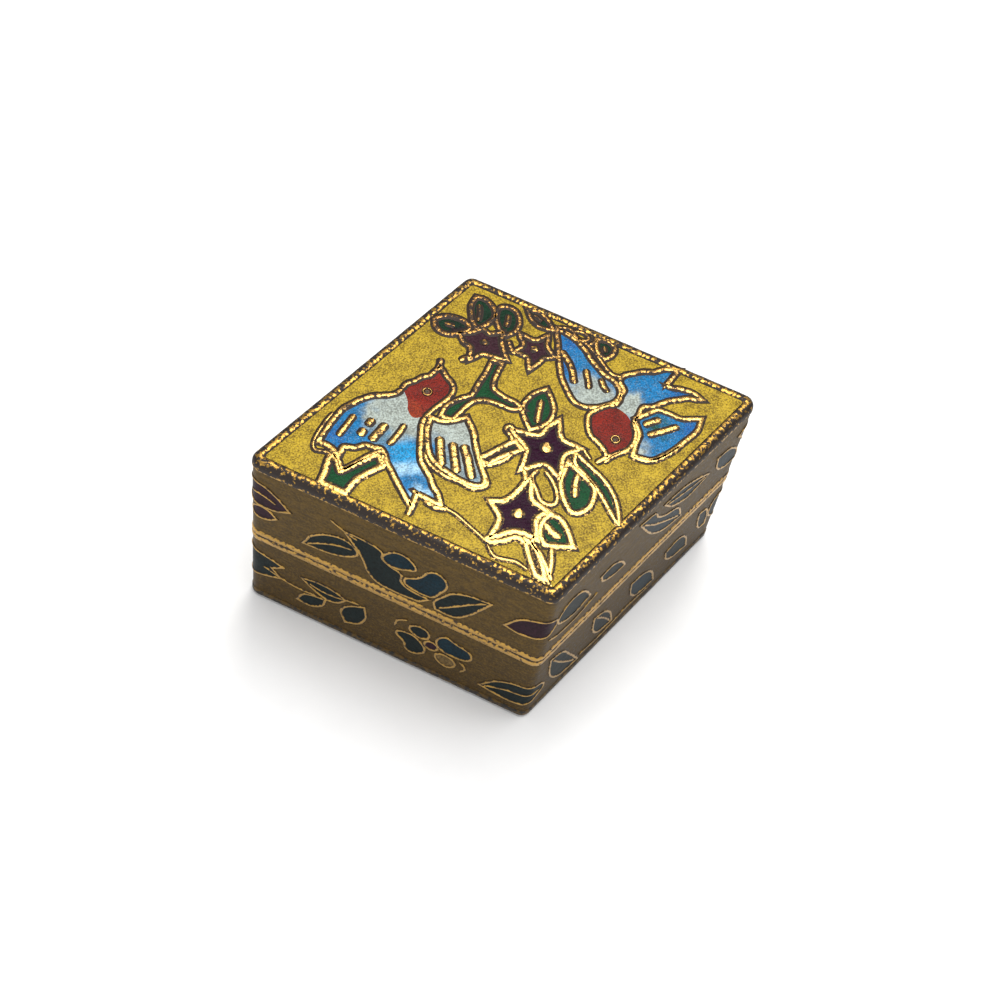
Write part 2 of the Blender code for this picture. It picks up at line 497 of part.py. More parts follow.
LID_SIDE_B = {
    "small_leaf": [(8.4, 18.2, SHARP), (9.6, 18.3), (11.0, 17.3), (12.0, 16.1, SHARP), (10.3, 16.2),
                   (8.9, 17.0)],
    "large_leaf": [(13.6, 21.5, SHARP), (15.4, 20.9), (16.4, 19.4), (18.0, 17.8), (20.4, 16.6),
                   (21.6, 14.2, SHARP), (19.2, 15.0), (17.0, 16.6), (15.4, 18.6)],
    "upper_leaf": [(17.6, 20.6, SHARP), (19.6, 20.4), (22.2, 19.4), (24.8, 18.0, SHARP), (22.2, 17.4),
                   (19.6, 18.6)],
}
BASE_SIDE_B = {
    "large_leaf": [(2.9, 8.6, SHARP), (3.6, 7.0), (4.9, 4.8), (7.0, 2.2, SHARP), (4.7, 3.0), (3.2, 5.2)],
    "small_leaf": [(22.0, 6.6, SHARP), (23.6, 6.9), (25.0, 5.6), (25.6, 3.4, SHARP), (23.6, 4.2)],
}
PANELS = (("front_left", 0, LID_SIDE_A, BASE_SIDE_A), ("front_right", 1, LID_SIDE_B, BASE_SIDE_B),
          ("back_right", 2, {"branch": LID_SIDE_A["branch"], "right_leaf": LID_SIDE_A["right_leaf"]},
           {"leaf": BASE_SIDE_A["leaf"]}),
          ("back_left", 3, {"large_leaf": LID_SIDE_B["large_leaf"]},
           {"large_leaf": BASE_SIDE_B["large_leaf"]}))


def side_axes(index, parts):
    """An empty at a side's left end: X along the side, Y up, Z out of the side's face."""
    across, along = SIDE * math.cos(HALF_ACUTE) * MM, SIDE * math.sin(HALF_ACUTE) * MM
    corners = ((-across, 0.0), (0.0, -along), (across, 0.0), (0.0, along))
    start, end = Vector(corners[index]), Vector(corners[(index + 1) % 4])
    heading = math.atan2(end.y - start.y, end.x - start.x)
    axes = bpy.data.objects.new(f"side_{index}_axes", None)
    axes.matrix_world = (Matrix.Translation((*start, 0.0)) @ Matrix.Rotation(heading, 4, "Z")
                         @ Matrix.Rotation(math.pi / 2, 4, "X"))
    parts.objects.link(axes)
    return axes


def make_sides(parts, cutters):
    """On each half: a thin metal band with ridges, the enamel ground and the cells of the pattern."""
    levels = {"base": (FOOT_RIM + FIT_GAP, SEAM - MOUTH_RIM_BASE - FIT_GAP),
              "lid": (SEAM + MOUTH_RIM_LID + FIT_GAP, HEIGHT - TOP_RIM_DROP - FIT_GAP)}
    plate_face = RIM_DEPTH - PLATE
    grounds, bands = {}, {}
    for half, (low, high) in levels.items():
        grounds[half] = prism(f"{half}_side_ground_enamel", [plan(ENAMEL_SUNK), plan(plate_face - FIT_GAP)],
                              low, high, parts)
        bands[half] = prism(f"{half}_side_band", [plan(plate_face), plan(RIM_DEPTH)], low, high, parts)
        set_finish(grounds[half], "brown_enamel")
        set_finish(bands[half], "gilt_brass")
    for place, index, lid_cells, base_cells in PANELS:
        axes = side_axes(index, parts)
        for half, cells in (("lid", lid_cells), ("base", base_cells)):
            panel = Pattern(parts, axes, FIT_GAP - plate_face, -ENAMEL_SUNK)
            for name, outline in cells.items():
                panel.cell(f"{half}_{place}_{name}_enamel", "teal_enamel", smooth(outline))
            pockets = flat_curve(f"{half}_{place}_pockets", panel.holes, -RIM_DEPTH, POCKET_OVERCUT)
            pockets.parent = axes
            cut(grounds[half], to_mesh(pockets, cutters))
            join(bands[half], panel.ridge_tool(f"{half}_{place}_ridges", cutters))


def main():
    clear_scene()
    parts = new_collection("pill_box")
    cutters = new_collection("cutters")
    make_base(parts, cutters)
    make_lid(parts, cutters)
    make_top(parts, cutters)
    make_sides(parts, cutters)


main()
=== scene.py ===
"""Looks of the cloisonne pill box: enamel cells, gilt ridges, worn rims, studio light and camera.

Lengths are in millimetres in the row frame until a mesh is written.
The lid's pattern is drawn in u, v: u runs along the front left side and v across it.
A side's pattern is drawn in s, z: s runs along the side from its left end and z is the height.
"""
import math

import bmesh
import bpy
from mathutils import Matrix, Vector, noise
from mathutils.geometry import delaunay_2d_cdt


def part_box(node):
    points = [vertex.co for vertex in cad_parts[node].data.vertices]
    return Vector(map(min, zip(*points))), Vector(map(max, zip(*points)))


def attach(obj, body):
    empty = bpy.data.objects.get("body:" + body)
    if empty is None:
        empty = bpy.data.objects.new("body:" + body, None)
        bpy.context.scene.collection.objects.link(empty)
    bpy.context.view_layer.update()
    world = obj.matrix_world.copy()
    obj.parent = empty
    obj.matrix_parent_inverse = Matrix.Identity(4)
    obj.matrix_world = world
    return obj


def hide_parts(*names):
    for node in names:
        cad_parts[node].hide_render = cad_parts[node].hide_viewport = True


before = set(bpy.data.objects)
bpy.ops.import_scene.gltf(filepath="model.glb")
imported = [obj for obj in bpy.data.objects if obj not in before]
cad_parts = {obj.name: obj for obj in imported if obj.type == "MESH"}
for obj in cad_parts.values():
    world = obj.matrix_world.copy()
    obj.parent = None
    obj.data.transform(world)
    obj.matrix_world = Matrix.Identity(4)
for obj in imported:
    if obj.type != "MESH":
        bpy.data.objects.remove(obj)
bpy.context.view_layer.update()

MM = 0.001

# ---- the box, as the CAD model has it ---------------------------------------------------
SIDE = 32.0
ACUTE = 73.9           # degrees, plan angle at the left and right corners
HALF_ACUTE = math.radians(ACUTE / 2)
CORNER_RADIUS = 1.2
SMALLEST_RADIUS = 0.3
CORNER_EASE = 0.021    # the CAD corners are cut in fewer pieces, so finer ones start this far in
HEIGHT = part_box("lid_top_rim")[1][2] / MM
FOOT_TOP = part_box("base_foot_rim")[1][2] / MM
MOUTH_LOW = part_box("base_mouth_rim")[0][2] / MM
MOUTH_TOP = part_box("base_mouth_rim")[1][2] / MM
LID_MOUTH_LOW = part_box("lid_mouth_rim")[0][2] / MM
LID_MOUTH_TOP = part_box("lid_mouth_rim")[1][2] / MM
TOP_RIM_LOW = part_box("lid_top_rim")[0][2] / MM
COLLAR = [corner[2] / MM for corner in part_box("base_collar")]
BASE_LINING = [corner[2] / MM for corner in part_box("base_inside_enamel")]
LID_LINING = [corner[2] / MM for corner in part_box("lid_inside_enamel")]
UNDERSIDE = [corner[2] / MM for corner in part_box("base_bottom_enamel")]

# ---- surface levels, below the outer envelope -------------------------------------------
RIDGE_TOP = -0.01
RIDGE_SHOULDER = -0.035
RIDGE_FOOT = -0.095
CELL_LEVEL = -0.115
GROUND_LEVEL = -0.14
SIDE_WIRE_FOOT = -0.07
SIDE_CELL_LEVEL = -0.085
SIDE_GROUND_LEVEL = -0.10
SLAB_BOTTOM = -0.26

PATH_STEP = 0.22       # length of a straight piece of a ridge
CELL_STEP = 0.45       # spacing of the points inside an enamel cell
GROUND_STEP = 0.7
ARC_STEPS = 10
SIDE_STEPS = 90
SHARP = True           # third item of a pattern point where the outline turns sharply


def srgb(red, green, blue):
    """The linear colour of an 8-bit display colour."""
    return tuple(
        c / 12.92 if c <= 0.04045 else ((c + 0.055) / 1.055) ** 2.4
        for c in (v / 255 for v in (red, green, blue))
    )


MUSTARD = srgb(154, 131, 34)
PALE = srgb(148, 158, 152)
BLUE = srgb(0, 102, 156)
DEEP_BLUE = srgb(0, 80, 142)
BRIGHT_BLUE = srgb(0, 132, 188)
WHITE_BLUE = srgb(150, 190, 214)
GREY_BLUE = srgb(84, 118, 138)
RED = srgb(106, 20, 6)
ORANGE = srgb(124, 42, 14)
EYE = srgb(60, 74, 60)
GREEN = srgb(6, 62, 32)
DARK_GREEN = srgb(14, 44, 28)
AUBERGINE = srgb(38, 6, 30)
DUSK = srgb(56, 34, 42)
BROWN = srgb(98, 80, 48)
SLATE = srgb(16, 26, 26)
PETROL = srgb(8, 32, 42)
SLATE_BLUE = srgb(28, 40, 46)
SIDE_PURPLE = srgb(38, 18, 28)
LINING = srgb(38, 132, 150)
# brown of the gilding towards the lid's back: partly tarnish, partly painted shade
BACK_TARNISH_AND_SHADE = srgb(150, 110, 56)

# ---- the lid's pattern ---------------------------------------------------------------------
# name: (finish, colour, outline, width of its ridge, how many last points have no ridge, tints);
# a tint is (u, v, radius, colour)
LEFT_HEAD = [(-10.85, -1.04, SHARP), (-10.85, -0.3), (-10.3, 0.4), (-9.9, 1.15), (-9.3, 1.7), (-9.1, 2.4),
             (-8.95, 3.0, SHARP), (-8.04, 2.3), (-7.2, 1.77), (-6.84, 0.94), (-7.0, 0.0), (-7.4, -1.04),
             (-7.73, -2.08), (-7.94, -2.9, SHARP), (-8.67, -3.4), (-9.5, -2.9), (-9.86, -2.2), (-10.2, -1.7)]
LEFT_BODY = [(-10.85, -1.04, SHARP), (-11.2, -1.9), (-11.94, -2.5), (-12.98, -3.15), (-13.8, -4.1),
             (-14.5, -5.3), (-14.85, -6.2), (-15.0, -7.8), (-15.06, -10.0, SHARP), (-14.4, -9.95),
             (-13.7, -10.1), (-13.1, -10.4, SHARP), (-13.1, -9.5), (-12.04, -9.0), (-11.3, -8.25),
             (-10.5, -8.1),
             (-9.75, -7.9), (-9.1, -8.3), (-8.4, -9.1), (-7.67, -9.7), (-6.73, -10.5), (-5.9, -11.2),
             (-4.56, -12.2, SHARP), (-4.9, -10.75, SHARP), (-2.5, -10.9, SHARP), (-3.0, -10.3), (-3.8, -9.7),
             (-4.56, -8.9), (-5.4, -8.25), (-6.1, -7.6), (-6.75, -6.4), (-7.4, -4.9), (-7.8, -3.9),
             (-7.94, -2.9, SHARP), (-8.67, -3.4), (-9.5, -2.9), (-9.86, -2.2), (-10.2, -1.7)]
LEFT_BIRD_WING = [(-6.96, -2.8, SHARP), (-5.7, -2.6), (-4.9, -1.95), (-4.2, -1.25, SHARP), (-3.04, -2.4),
                  (-2.17, -3.8), (-1.33, -4.9), (-0.5, -5.85), (0.23, -6.9), (-0.3, -7.4), (-1.75, -7.45),
                  (-3.2, -7.25), (-4.5, -6.85), (-5.4, -6.2), (-6.0, -5.3), (-6.6, -4.2)]
RIGHT_HEAD = [(10.0, 6.4, SHARP), (10.6, 5.6), (10.9, 4.8), (10.9, 3.75), (10.6, 3.0), (10.0, 2.3),
              (9.6, 1.67, SHARP), (8.96, 2.3), (8.1, 2.8), (7.1, 3.3), (6.46, 4.4), (6.25, 5.3), (6.8, 6.25),
              (7.4, 7.0), (8.0, 7.3, SHARP), (8.6, 7.2), (9.4, 6.9)]
RIGHT_BODY = [(8.0, 7.3, SHARP), (8.2, 8.15), (8.1, 8.8), (8.1, 9.7), (7.35, 10.5), (7.4, 11.1), (8.0, 11.7),
              (8.8, 12.4), (9.85, 13.0), (10.6, 13.8), (11.5, 14.2, SHARP), (11.1, 12.0, SHARP), (11.9, 12.0),
              (12.9, 12.3), (13.9, 12.45), (14.75, 12.3, SHARP), (13.8, 12.0), (13.1, 11.5), (12.25, 10.85),
              (11.6, 10.1), (11.0, 9.3), (10.2, 8.8), (10.06, 8.35), (10.1, 7.5), (10.0, 6.4, SHARP),
              (9.4, 6.9), (8.6, 7.2)]
RIGHT_BIRD_LEFT_WING = [(-0.65, 13.05, SHARP), (1.1, 12.8), (2.4, 12.1), (3.4, 11.3), (4.7, 10.5),
                        (5.4, 10.15),
                        (6.3, 10.0), (7.06, 9.6), (7.55, 8.9), (7.5, 8.0), (6.96, 7.3), (6.1, 6.5),
                        (5.2, 6.05),
                        (4.25, 6.1), (3.4, 6.7), (2.6, 7.5), (1.85, 8.35), (1.3, 9.4), (0.7, 10.5),
                        (0.0, 11.9)]
RIGHT_BIRD_RIGHT_WING = [(10.4, 6.9, SHARP), (11.25, 8.1), (11.8, 8.8), (12.9, 8.96), (14.2, 8.96),
                         (15.0, 9.4),
                         (15.8, 9.85, SHARP), (15.9, 8.6), (15.4, 7.2), (14.7, 5.5), (13.85, 3.9),
                         (13.1, 3.3),
                         (11.8, 3.1, SHARP), (11.6, 4.3), (11.5, 5.4)]
STAR_A = [(3.75, 2.7, SHARP), (4.2, 1.7), (4.9, 1.0), (6.5, 0.95, SHARP), (5.75, 0.1), (5.6, -0.7),
          (6.2, -2.6, SHARP), (5.2, -2.1), (4.3, -2.1), (3.0, -3.4, SHARP), (2.85, -2.2), (2.5, -1.25),
          (0.7, -0.2, SHARP), (2.1, 0.1), (3.1, 0.6), (3.3, 1.6)]
STAR_B = [(4.1, -4.7, SHARP), (4.5, -5.9), (5.1, -6.7), (6.6, -7.1, SHARP), (6.2, -7.8), (6.17, -8.4),
          (6.9, -9.9, SHARP), (5.9, -9.9), (4.9, -10.2), (3.67, -11.5, SHARP), (3.7, -10.4), (3.46, -9.5),
          (2.3, -8.5, SHARP), (3.1, -8.0), (3.56, -7.2), (3.9, -6.0)]
STAR_C = [(-8.9, 7.9, SHARP), (-8.0, 8.5), (-7.4, 9.4, SHARP), (-6.5, 9.2), (-5.6, 9.8, SHARP), (-5.2, 8.8),
          (-4.1, 7.4, SHARP), (-5.2, 7.1), (-6.2, 6.9), (-6.9, 5.9, SHARP), (-7.4, 7.1), (-8.2, 7.3)]
STAR_D = [(-1.4, 11.7, SHARP), (-1.0, 10.6), (-0.05, 9.9, SHARP), (-0.8, 9.3), (-1.0, 8.5),
          (-1.3, 7.7, SHARP),
          (-2.0, 8.7), (-3.1, 8.8, SHARP), (-2.9, 9.8), (-3.65, 10.7, SHARP), (-2.6, 10.6), (-1.9, 10.9)]
BRANCH = [(-4.75, 6.4, SHARP), (-4.1, 6.4, SHARP), (-4.05, 5.2), (-3.95, 4.3), (-3.56, 3.4), (-3.06, 3.1),
          (-1.9, 2.85), (-0.9, 2.8), (-0.3, 2.6, SHARP), (-0.9, 2.3), (-2.4, 2.2), (-3.5, 2.0), (-4.4, 1.45),
          (-4.9, 0.6), (-5.2, -0.5), (-5.45, -1.6, SHARP), (-6.3, -1.75, SHARP), (-6.35, -0.8), (-5.96, 0.0),
          (-5.4, 0.8), (-4.75, 1.7), (-4.7, 3.3), (-4.65, 4.8)]
STUMP = [(-9.7, -9.3, SHARP), (-9.07, -9.76, SHARP), (-10.06, -11.4), (-10.5, -12.4), (-10.7, -13.9, SHARP),
         (-12.75, -13.9, SHARP), (-12.85, -13.0), (-13.1, -12.0), (-13.3, -11.3, SHARP), (-12.7, -11.9),
         (-11.9, -12.5), (-11.3, -11.8), (-10.6, -10.75)]
STALK = [(1.1, -1.45, SHARP), (1.65, -1.8, SHARP), (0.6, -3.0), (-0.45, -4.65, SHARP), (-0.75, -4.45, SHARP),
         (0.25, -2.8)]
STEM = [(6.8, -11.0, SHARP), (7.2, -11.15, SHARP), (8.3, -12.2), (9.3, -13.5, SHARP), (8.9, -13.5, SHARP),
        (7.9, -12.4)]
LONG_LEAF = [(7.0, 0.05, SHARP), (8.65, -0.6), (10.2, -1.3), (11.4, -2.2), (12.4, -3.4), (13.15, -4.7, SHARP),
             (12.0, -3.7), (11.0, -2.85), (10.0, -2.1), (8.6, -1.3), (7.3, -0.6)]
LEAF_MIDDLE = [(1.2, 5.7, SHARP), (2.15, 4.7), (2.67, 3.75), (2.77, 2.7), (2.35, 1.8), (1.7, 1.04, SHARP),
               (1.0, 1.7), (0.4, 2.5), (0.17, 3.5), (0.5, 4.8)]
LEAF_RIGHT = [(6.75, -1.25, SHARP), (8.0, -1.75), (9.0, -2.15), (9.67, -2.6), (10.0, -3.7), (9.9, -4.9),
              (9.15, -5.65), (8.4, -5.2), (7.5, -4.2), (6.9, -3.0)]
LEAF_FRONT = [(7.5, -7.25, SHARP), (8.4, -7.4), (9.46, -8.3), (10.25, -9.25, SHARP), (9.25, -9.7),
              (8.3, -10.15, SHARP), (7.8, -9.7), (7.45, -9.1), (7.3, -8.2)]
LEAF_LEFT = [(-11.9, 8.3, SHARP), (-11.1, 9.1), (-9.9, 9.35), (-8.85, 9.0), (-9.3, 8.2), (-10.1, 7.55),
             (-10.8, 7.4), (-11.5, 7.7)]
LEAF_BACK_LEFT = [(-9.5, 12.8, SHARP), (-8.8, 12.9), (-7.9, 12.5), (-7.2, 11.7), (-7.4, 10.6),
                  (-7.95, 9.6, SHARP), (-8.5, 10.0), (-9.1, 10.9), (-9.5, 11.8)]
LEAF_BACK_MIDDLE = [(-6.9, 12.7), (-6.3, 13.2), (-5.4, 13.0), (-4.75, 12.1), (-4.6, 11.1),
                    (-5.1, 10.2, SHARP),
                    (-5.9, 10.6), (-6.7, 11.6)]
LEAF_EDGE_LEFT = [(-4.3, 14.0, SHARP), (-3.2, 14.1), (-2.1, 13.6), (-1.5, 13.0, SHARP), (-2.5, 12.8),
                  (-3.5, 13.2)]
LEAF_EDGE_RIGHT = [(3.3, 13.9, SHARP), (4.3, 14.15), (5.0, 13.7), (5.0, 12.9), (4.7, 12.4, SHARP),
                   (3.8, 12.9)]

TOP_CELLS = {
    "left_bird_head": ("red_enamel", RED, LEFT_HEAD, 0.42, 4, [(-9.0, -3.6, 2.3, ORANGE),
                                                               (-8.82, -0.05, 0.5, EYE)]),
    "left_bird_body": ("blue_enamel", BLUE, LEFT_BODY, 0.48, 4,
                       [(-10.2, -4.0, 3.9, PALE), (-8.6, -4.6, 2.4, PALE), (-10.6, -7.0, 1.6, GREY_BLUE),
                        (-7.3, -7.6, 2.4, BRIGHT_BLUE), (-6.9, -9.2, 1.1, WHITE_BLUE),
                        (-5.9, -8.4, 1.0, WHITE_BLUE),
                        (-4.3, -11.0, 1.5, WHITE_BLUE), (-14.3, -8.8, 1.6, DEEP_BLUE)]),
    "left_bird_wing": ("blue_enamel", PALE, LEFT_BIRD_WING, 0.5, 0,
                       [(-5.5, -5.6, 1.5, BLUE), (-3.9, -6.4, 1.4, GREY_BLUE), (-1.2, -6.6, 1.4, GREY_BLUE)]),
    "right_bird_head": ("red_enamel", RED, RIGHT_HEAD, 0.42, 2,
                        [(8.9, 7.3, 0.6, ORANGE), (9.4, 3.75, 0.45, EYE)]),
    "right_bird_body": ("blue_enamel", BLUE, RIGHT_BODY, 0.45, 2,
                        [(9.1, 8.0, 2.3, PALE), (13.0, 11.9, 2.0, DEEP_BLUE)]),
    "right_bird_left_wing": ("blue_enamel", BLUE, RIGHT_BIRD_LEFT_WING, 0.45, 0,
                             [(5.4, 7.6, 3.2, PALE), (1.6, 9.3, 1.8, DEEP_BLUE), (1.0, 12.2, 1.6, DEEP_BLUE)]),
    "right_bird_right_wing": ("blue_enamel", BLUE, RIGHT_BIRD_RIGHT_WING, 0.42, 0,
                              [(12.0, 3.7, 1.4, PALE), (12.3, 7.1, 1.5, GREEN), (15.2, 8.6, 1.5, DEEP_BLUE)]),
    "centre_blossom": ("purple_enamel", AUBERGINE, STAR_A, 0.5, 0, []),
    "front_blossom": ("purple_enamel", AUBERGINE, STAR_B, 0.55, 0, []),
    "back_left_blossom": ("purple_enamel", DUSK, STAR_C, 0.42, 0, []),
    "back_right_blossom": ("purple_enamel", DUSK, STAR_D, 0.42, 0, []),
    "branch": ("green_enamel", GREEN, BRANCH, 0.42, 0, []),
    "stump": ("green_enamel", GREEN, STUMP, 0.6, 0, []),
    "stalk": ("green_enamel", DARK_GREEN, STALK, 0.5, 0, []),
    "stem": ("green_enamel", DARK_GREEN, STEM, 0.5, 0, []),
    "long_leaf": ("green_enamel", GREEN, LONG_LEAF, 0.4, 0, []),
    "middle_leaf": ("green_enamel", GREEN, LEAF_MIDDLE, 0.42, 0, []),
    "right_leaf": ("green_enamel", GREEN, LEAF_RIGHT, 0.5, 0, []),
    "front_leaf": ("green_enamel", GREEN, LEAF_FRONT, 0.5, 0, []),
    "left_leaf": ("green_enamel", DARK_GREEN, LEAF_LEFT, 0.45, 0, [(-9.4, 8.3, 1.1, AUBERGINE)]),
    "back_left_leaf": ("green_enamel", DARK_GREEN, LEAF_BACK_LEFT, 0.42, 0, []),
    "back_middle_leaf": ("green_enamel", DARK_GREEN, LEAF_BACK_MIDDLE, 0.42, 0, []),
    "edge_left_leaf": ("green_enamel", DARK_GREEN, LEAF_EDGE_LEFT, 0.35, 0, []),
    "edge_right_leaf": ("green_enamel", DARK_GREEN, LEAF_EDGE_RIGHT, 0.4, 0, []),
}

# islands and contours of gilt metal: (width, points)
TOP_WIRES = [
    # beaks and eyes
    (0.5, [(-9.05, 2.7), (-9.25, 3.6), (-9.45, 4.3)]), (0.45, [(9.7, 1.9), (9.3, 1.1), (8.8, 0.3)]),
    (0.3, [(10.5, 2.6), (9.9, 1.7), (9.5, 0.7)]), (0.25, [(7.1, 1.3), (7.5, 0.9), (8.2, 0.4)]),
    # left bird: feathers of both wings
    (0.42, [(-13.7, -5.85), (-13.95, -8.8)]), (0.6, [(-11.94, -5.4), (-12.05, -6.45)]),
    (0.6, [(-12.1, -6.8), (-12.25, -7.8)]), (0.62, [(-10.6, -5.3), (-11.0, -7.8)]),
    (0.42, [(-9.0, -4.5), (-9.1, -5.9), (-9.35, -7.4)]), (0.6, [(-5.5, -4.2), (-4.7, -5.7), (-3.9, -7.1)]),
    (0.62, [(-4.15, -4.2), (-3.2, -5.7), (-2.35, -7.2)]), (0.65, [(-3.1, -3.9), (-1.9, -5.5), (-0.8, -7.1)]),
    # contours around the left bird
    (0.22, [(-15.6, -6.6), (-15.75, -8.4), (-15.7, -10.2), (-15.2, -11.2), (-14.3, -11.0), (-13.5, -10.9)]),
    (0.5, [(-13.4, -10.8), (-12.6, -11.3), (-11.9, -11.9), (-11.2, -11.0), (-10.3, -9.3), (-9.6, -8.3)]),
    (0.4, [(-9.2, -8.5), (-9.2, -9.3)]),
    (0.34, [(-6.0, -6.6), (-5.0, -7.5), (-3.4, -7.95), (-1.8, -7.95), (-0.2, -7.95), (0.7, -7.2),
            (0.6, -6.4)]),
    (0.4, [(-4.9, -12.0), (-4.4, -12.8), (-4.3, -13.6)]),
    (0.5, [(-3.6, -11.4), (-2.2, -11.5), (-1.4, -11.1)]),
    (0.2, [(-2.0, -11.2), (-0.6, -11.3), (0.7, -11.7), (2.4, -12.3), (3.3, -12.7)]),
    # right bird: feathers and contours
    (0.5, [(0.5, 11.0), (1.6, 10.2), (2.5, 9.2), (3.3, 7.9)]), (0.42, [(3.6, 10.1), (4.2, 9.1), (4.8, 8.0)]),
    (0.42, [(5.3, 9.8), (5.9, 9.1), (6.6, 8.5)]),
    (0.3, [(-1.0, 13.4), (2.0, 13.1), (4.0, 12.1), (6.0, 10.8), (7.0, 10.9)]),
    (0.5, [(11.2, 6.6), (11.8, 7.4), (12.4, 8.1)]), (0.5, [(12.0, 5.7), (13.1, 6.9), (14.3, 8.2)]),
    (0.45, [(11.5, 2.7), (13.2, 3.0), (14.4, 4.4), (15.3, 6.0)]),
    # blossom hearts
    (1.0, [(3.85, 0.15), (4.05, -0.95)]), (0.95, [(4.55, -7.95), (4.75, -8.95)]),
    (0.6, [(-6.65, 8.45), (-6.45, 7.8)]),
    (0.75, [(-2.2, 9.95), (-1.5, 9.75)]), (0.5, [(-7.0, 5.9), (-7.8, 4.9)]),
    (0.42, [(-4.6, 9.6), (-3.8, 8.6), (-3.3, 8.3)]),
    # leaf veins
    (0.42, [(1.25, 4.5), (1.6, 3.2), (2.0, 1.8)]), (0.5, [(7.85, -1.6), (8.1, -3.0), (8.6, -4.3)]),
    (0.6, [(7.3, -8.3), (8.2, -8.75), (9.2, -9.1)]), (0.35, [(-9.0, 12.2), (-8.5, 11.3), (-8.2, 10.2)]),
    (0.32, [(-5.9, 12.5), (-5.6, 11.6), (-5.5, 10.9)]), (0.3, [(-11.0, 8.4), (-10.0, 8.5)]),
    (0.25, [(-3.7, 13.7), (-2.6, 13.4)]), (0.3, [(4.1, 13.6), (4.5, 12.9)]),
    # wires between the blossoms and the front corner
    (0.34, [(0.6, -0.1), (-0.2, 0.2), (-0.3, -0.4), (0.5, -0.9), (0.7, -1.5)]),
    (0.38, [(1.4, -2.6), (1.0, -3.6), (0.4, -4.4), (-0.4, -5.1)]),
    (0.5, [(3.0, -3.6), (3.5, -4.3), (3.8, -4.9)]),
    (0.35, [(4.3, -3.1), (4.1, -4.0), (5.0, -5.2), (6.1, -6.2), (7.2, -5.9), (7.0, -4.8), (6.0, -3.6),
            (5.0, -2.9)]),
    (0.45, [(6.9, -10.0), (7.2, -10.9), (8.2, -11.5), (9.4, -12.6), (10.3, -13.6)]),
    (0.5, [(3.6, -11.7), (3.2, -12.5), (4.4, -12.0), (5.6, -10.9), (6.6, -11.1)]),
    (0.22, [(3.5, -12.9), (4.6, -13.7), (5.6, -13.6), (6.6, -13.3), (7.9, -13.6)]),
    (0.45, [(8.9, -10.3), (9.5, -11.8), (9.9, -13.2)]), (0.4, [(6.9, -7.3), (7.2, -7.1)]),
    # twigs at the back edge
    (0.3, [(0.6, 13.8), (1.4, 14.1), (2.3, 13.8), (2.0, 13.2), (1.1, 13.3), (0.6, 13.8)]),
    (0.28, [(-0.9, 13.5), (0.2, 13.9), (0.7, 13.6)]), (0.3, [(2.6, 12.9), (3.0, 13.5), (3.3, 14.0)]),
]
EYE_RINGS = [((-8.82, -0.05), 0.42), ((9.43, 3.75), 0.4)]

# ---- the patterns on the sides ----------------------------------------------------------------
# name: (colour, outline); the names match the CAD nodes, and a name with + is an extra cell
LID_FRONT_LEFT = {
    "branch": (SLATE, [(10.9, 19.3, SHARP), (12.8, 19.3), (14.5, 18.8), (14.7, 17.6), (15.6, 16.9),
                       (16.8, 16.4),
                       (16.9, 15.1), (17.9, 14.3), (19.8, 14.1, SHARP), (19.0, 13.2, SHARP), (16.8, 13.0),
                       (14.7, 13.2), (13.6, 14.3), (13.1, 15.6), (12.6, 16.8), (11.9, 17.9)]),
    "left_bud": (PETROL, [(15.0, 17.7), (15.3, 18.9), (16.2, 19.7), (17.2, 19.7), (18.0, 19.0), (18.2, 18.3),
                          (17.2, 17.7), (16.2, 17.2)]),
    "right_bud": (PETROL, [(19.1, 17.6), (18.4, 16.7), (17.5, 16.0), (17.6, 15.2), (18.8, 14.8), (20.2, 15.0),
                           (20.9, 16.2), (21.5, 17.8), (21.2, 18.9), (20.4, 19.3), (19.7, 18.8)]),
    "left_leaf": (SLATE, [(6.6, 14.2, SHARP), (7.4, 15.9), (8.8, 17.2), (10.3, 17.8), (11.4, 17.6),
                          (12.1, 16.5),
                          (11.1, 15.3), (9.2, 14.5)]),
    "right_leaf": (SLATE, [(26.0, 18.3, SHARP), (24.0, 18.0), (22.4, 17.1), (21.4, 15.6), (20.7, 14.3),
                           (20.9, 13.2, SHARP), (22.8, 13.3), (24.2, 14.9), (25.2, 16.7)]),
    "+corner_bud": (SIDE_PURPLE, [(28.0, 16.0, SHARP), (29.2, 17.9), (30.6, 18.8), (32.2, 19.2), (33.4, 18.4),
                                  (32.8, 17.0), (31.2, 16.2), (29.6, 15.7)]),
    "+flower": (SIDE_PURPLE, [(-2.2, 19.9, SHARP), (-0.6, 20.9), (1.6, 20.9), (3.4, 19.8), (4.8, 18.3, SHARP),
                              (3.2, 17.5), (1.4, 17.5), (-0.4, 18.2)]),
    "+small_bud": (SIDE_PURPLE, [(0.5, 16.3), (1.4, 17.0), (2.5, 16.9), (3.4, 16.1, SHARP), (2.5, 15.4),
                                 (1.2, 15.4)]),
}
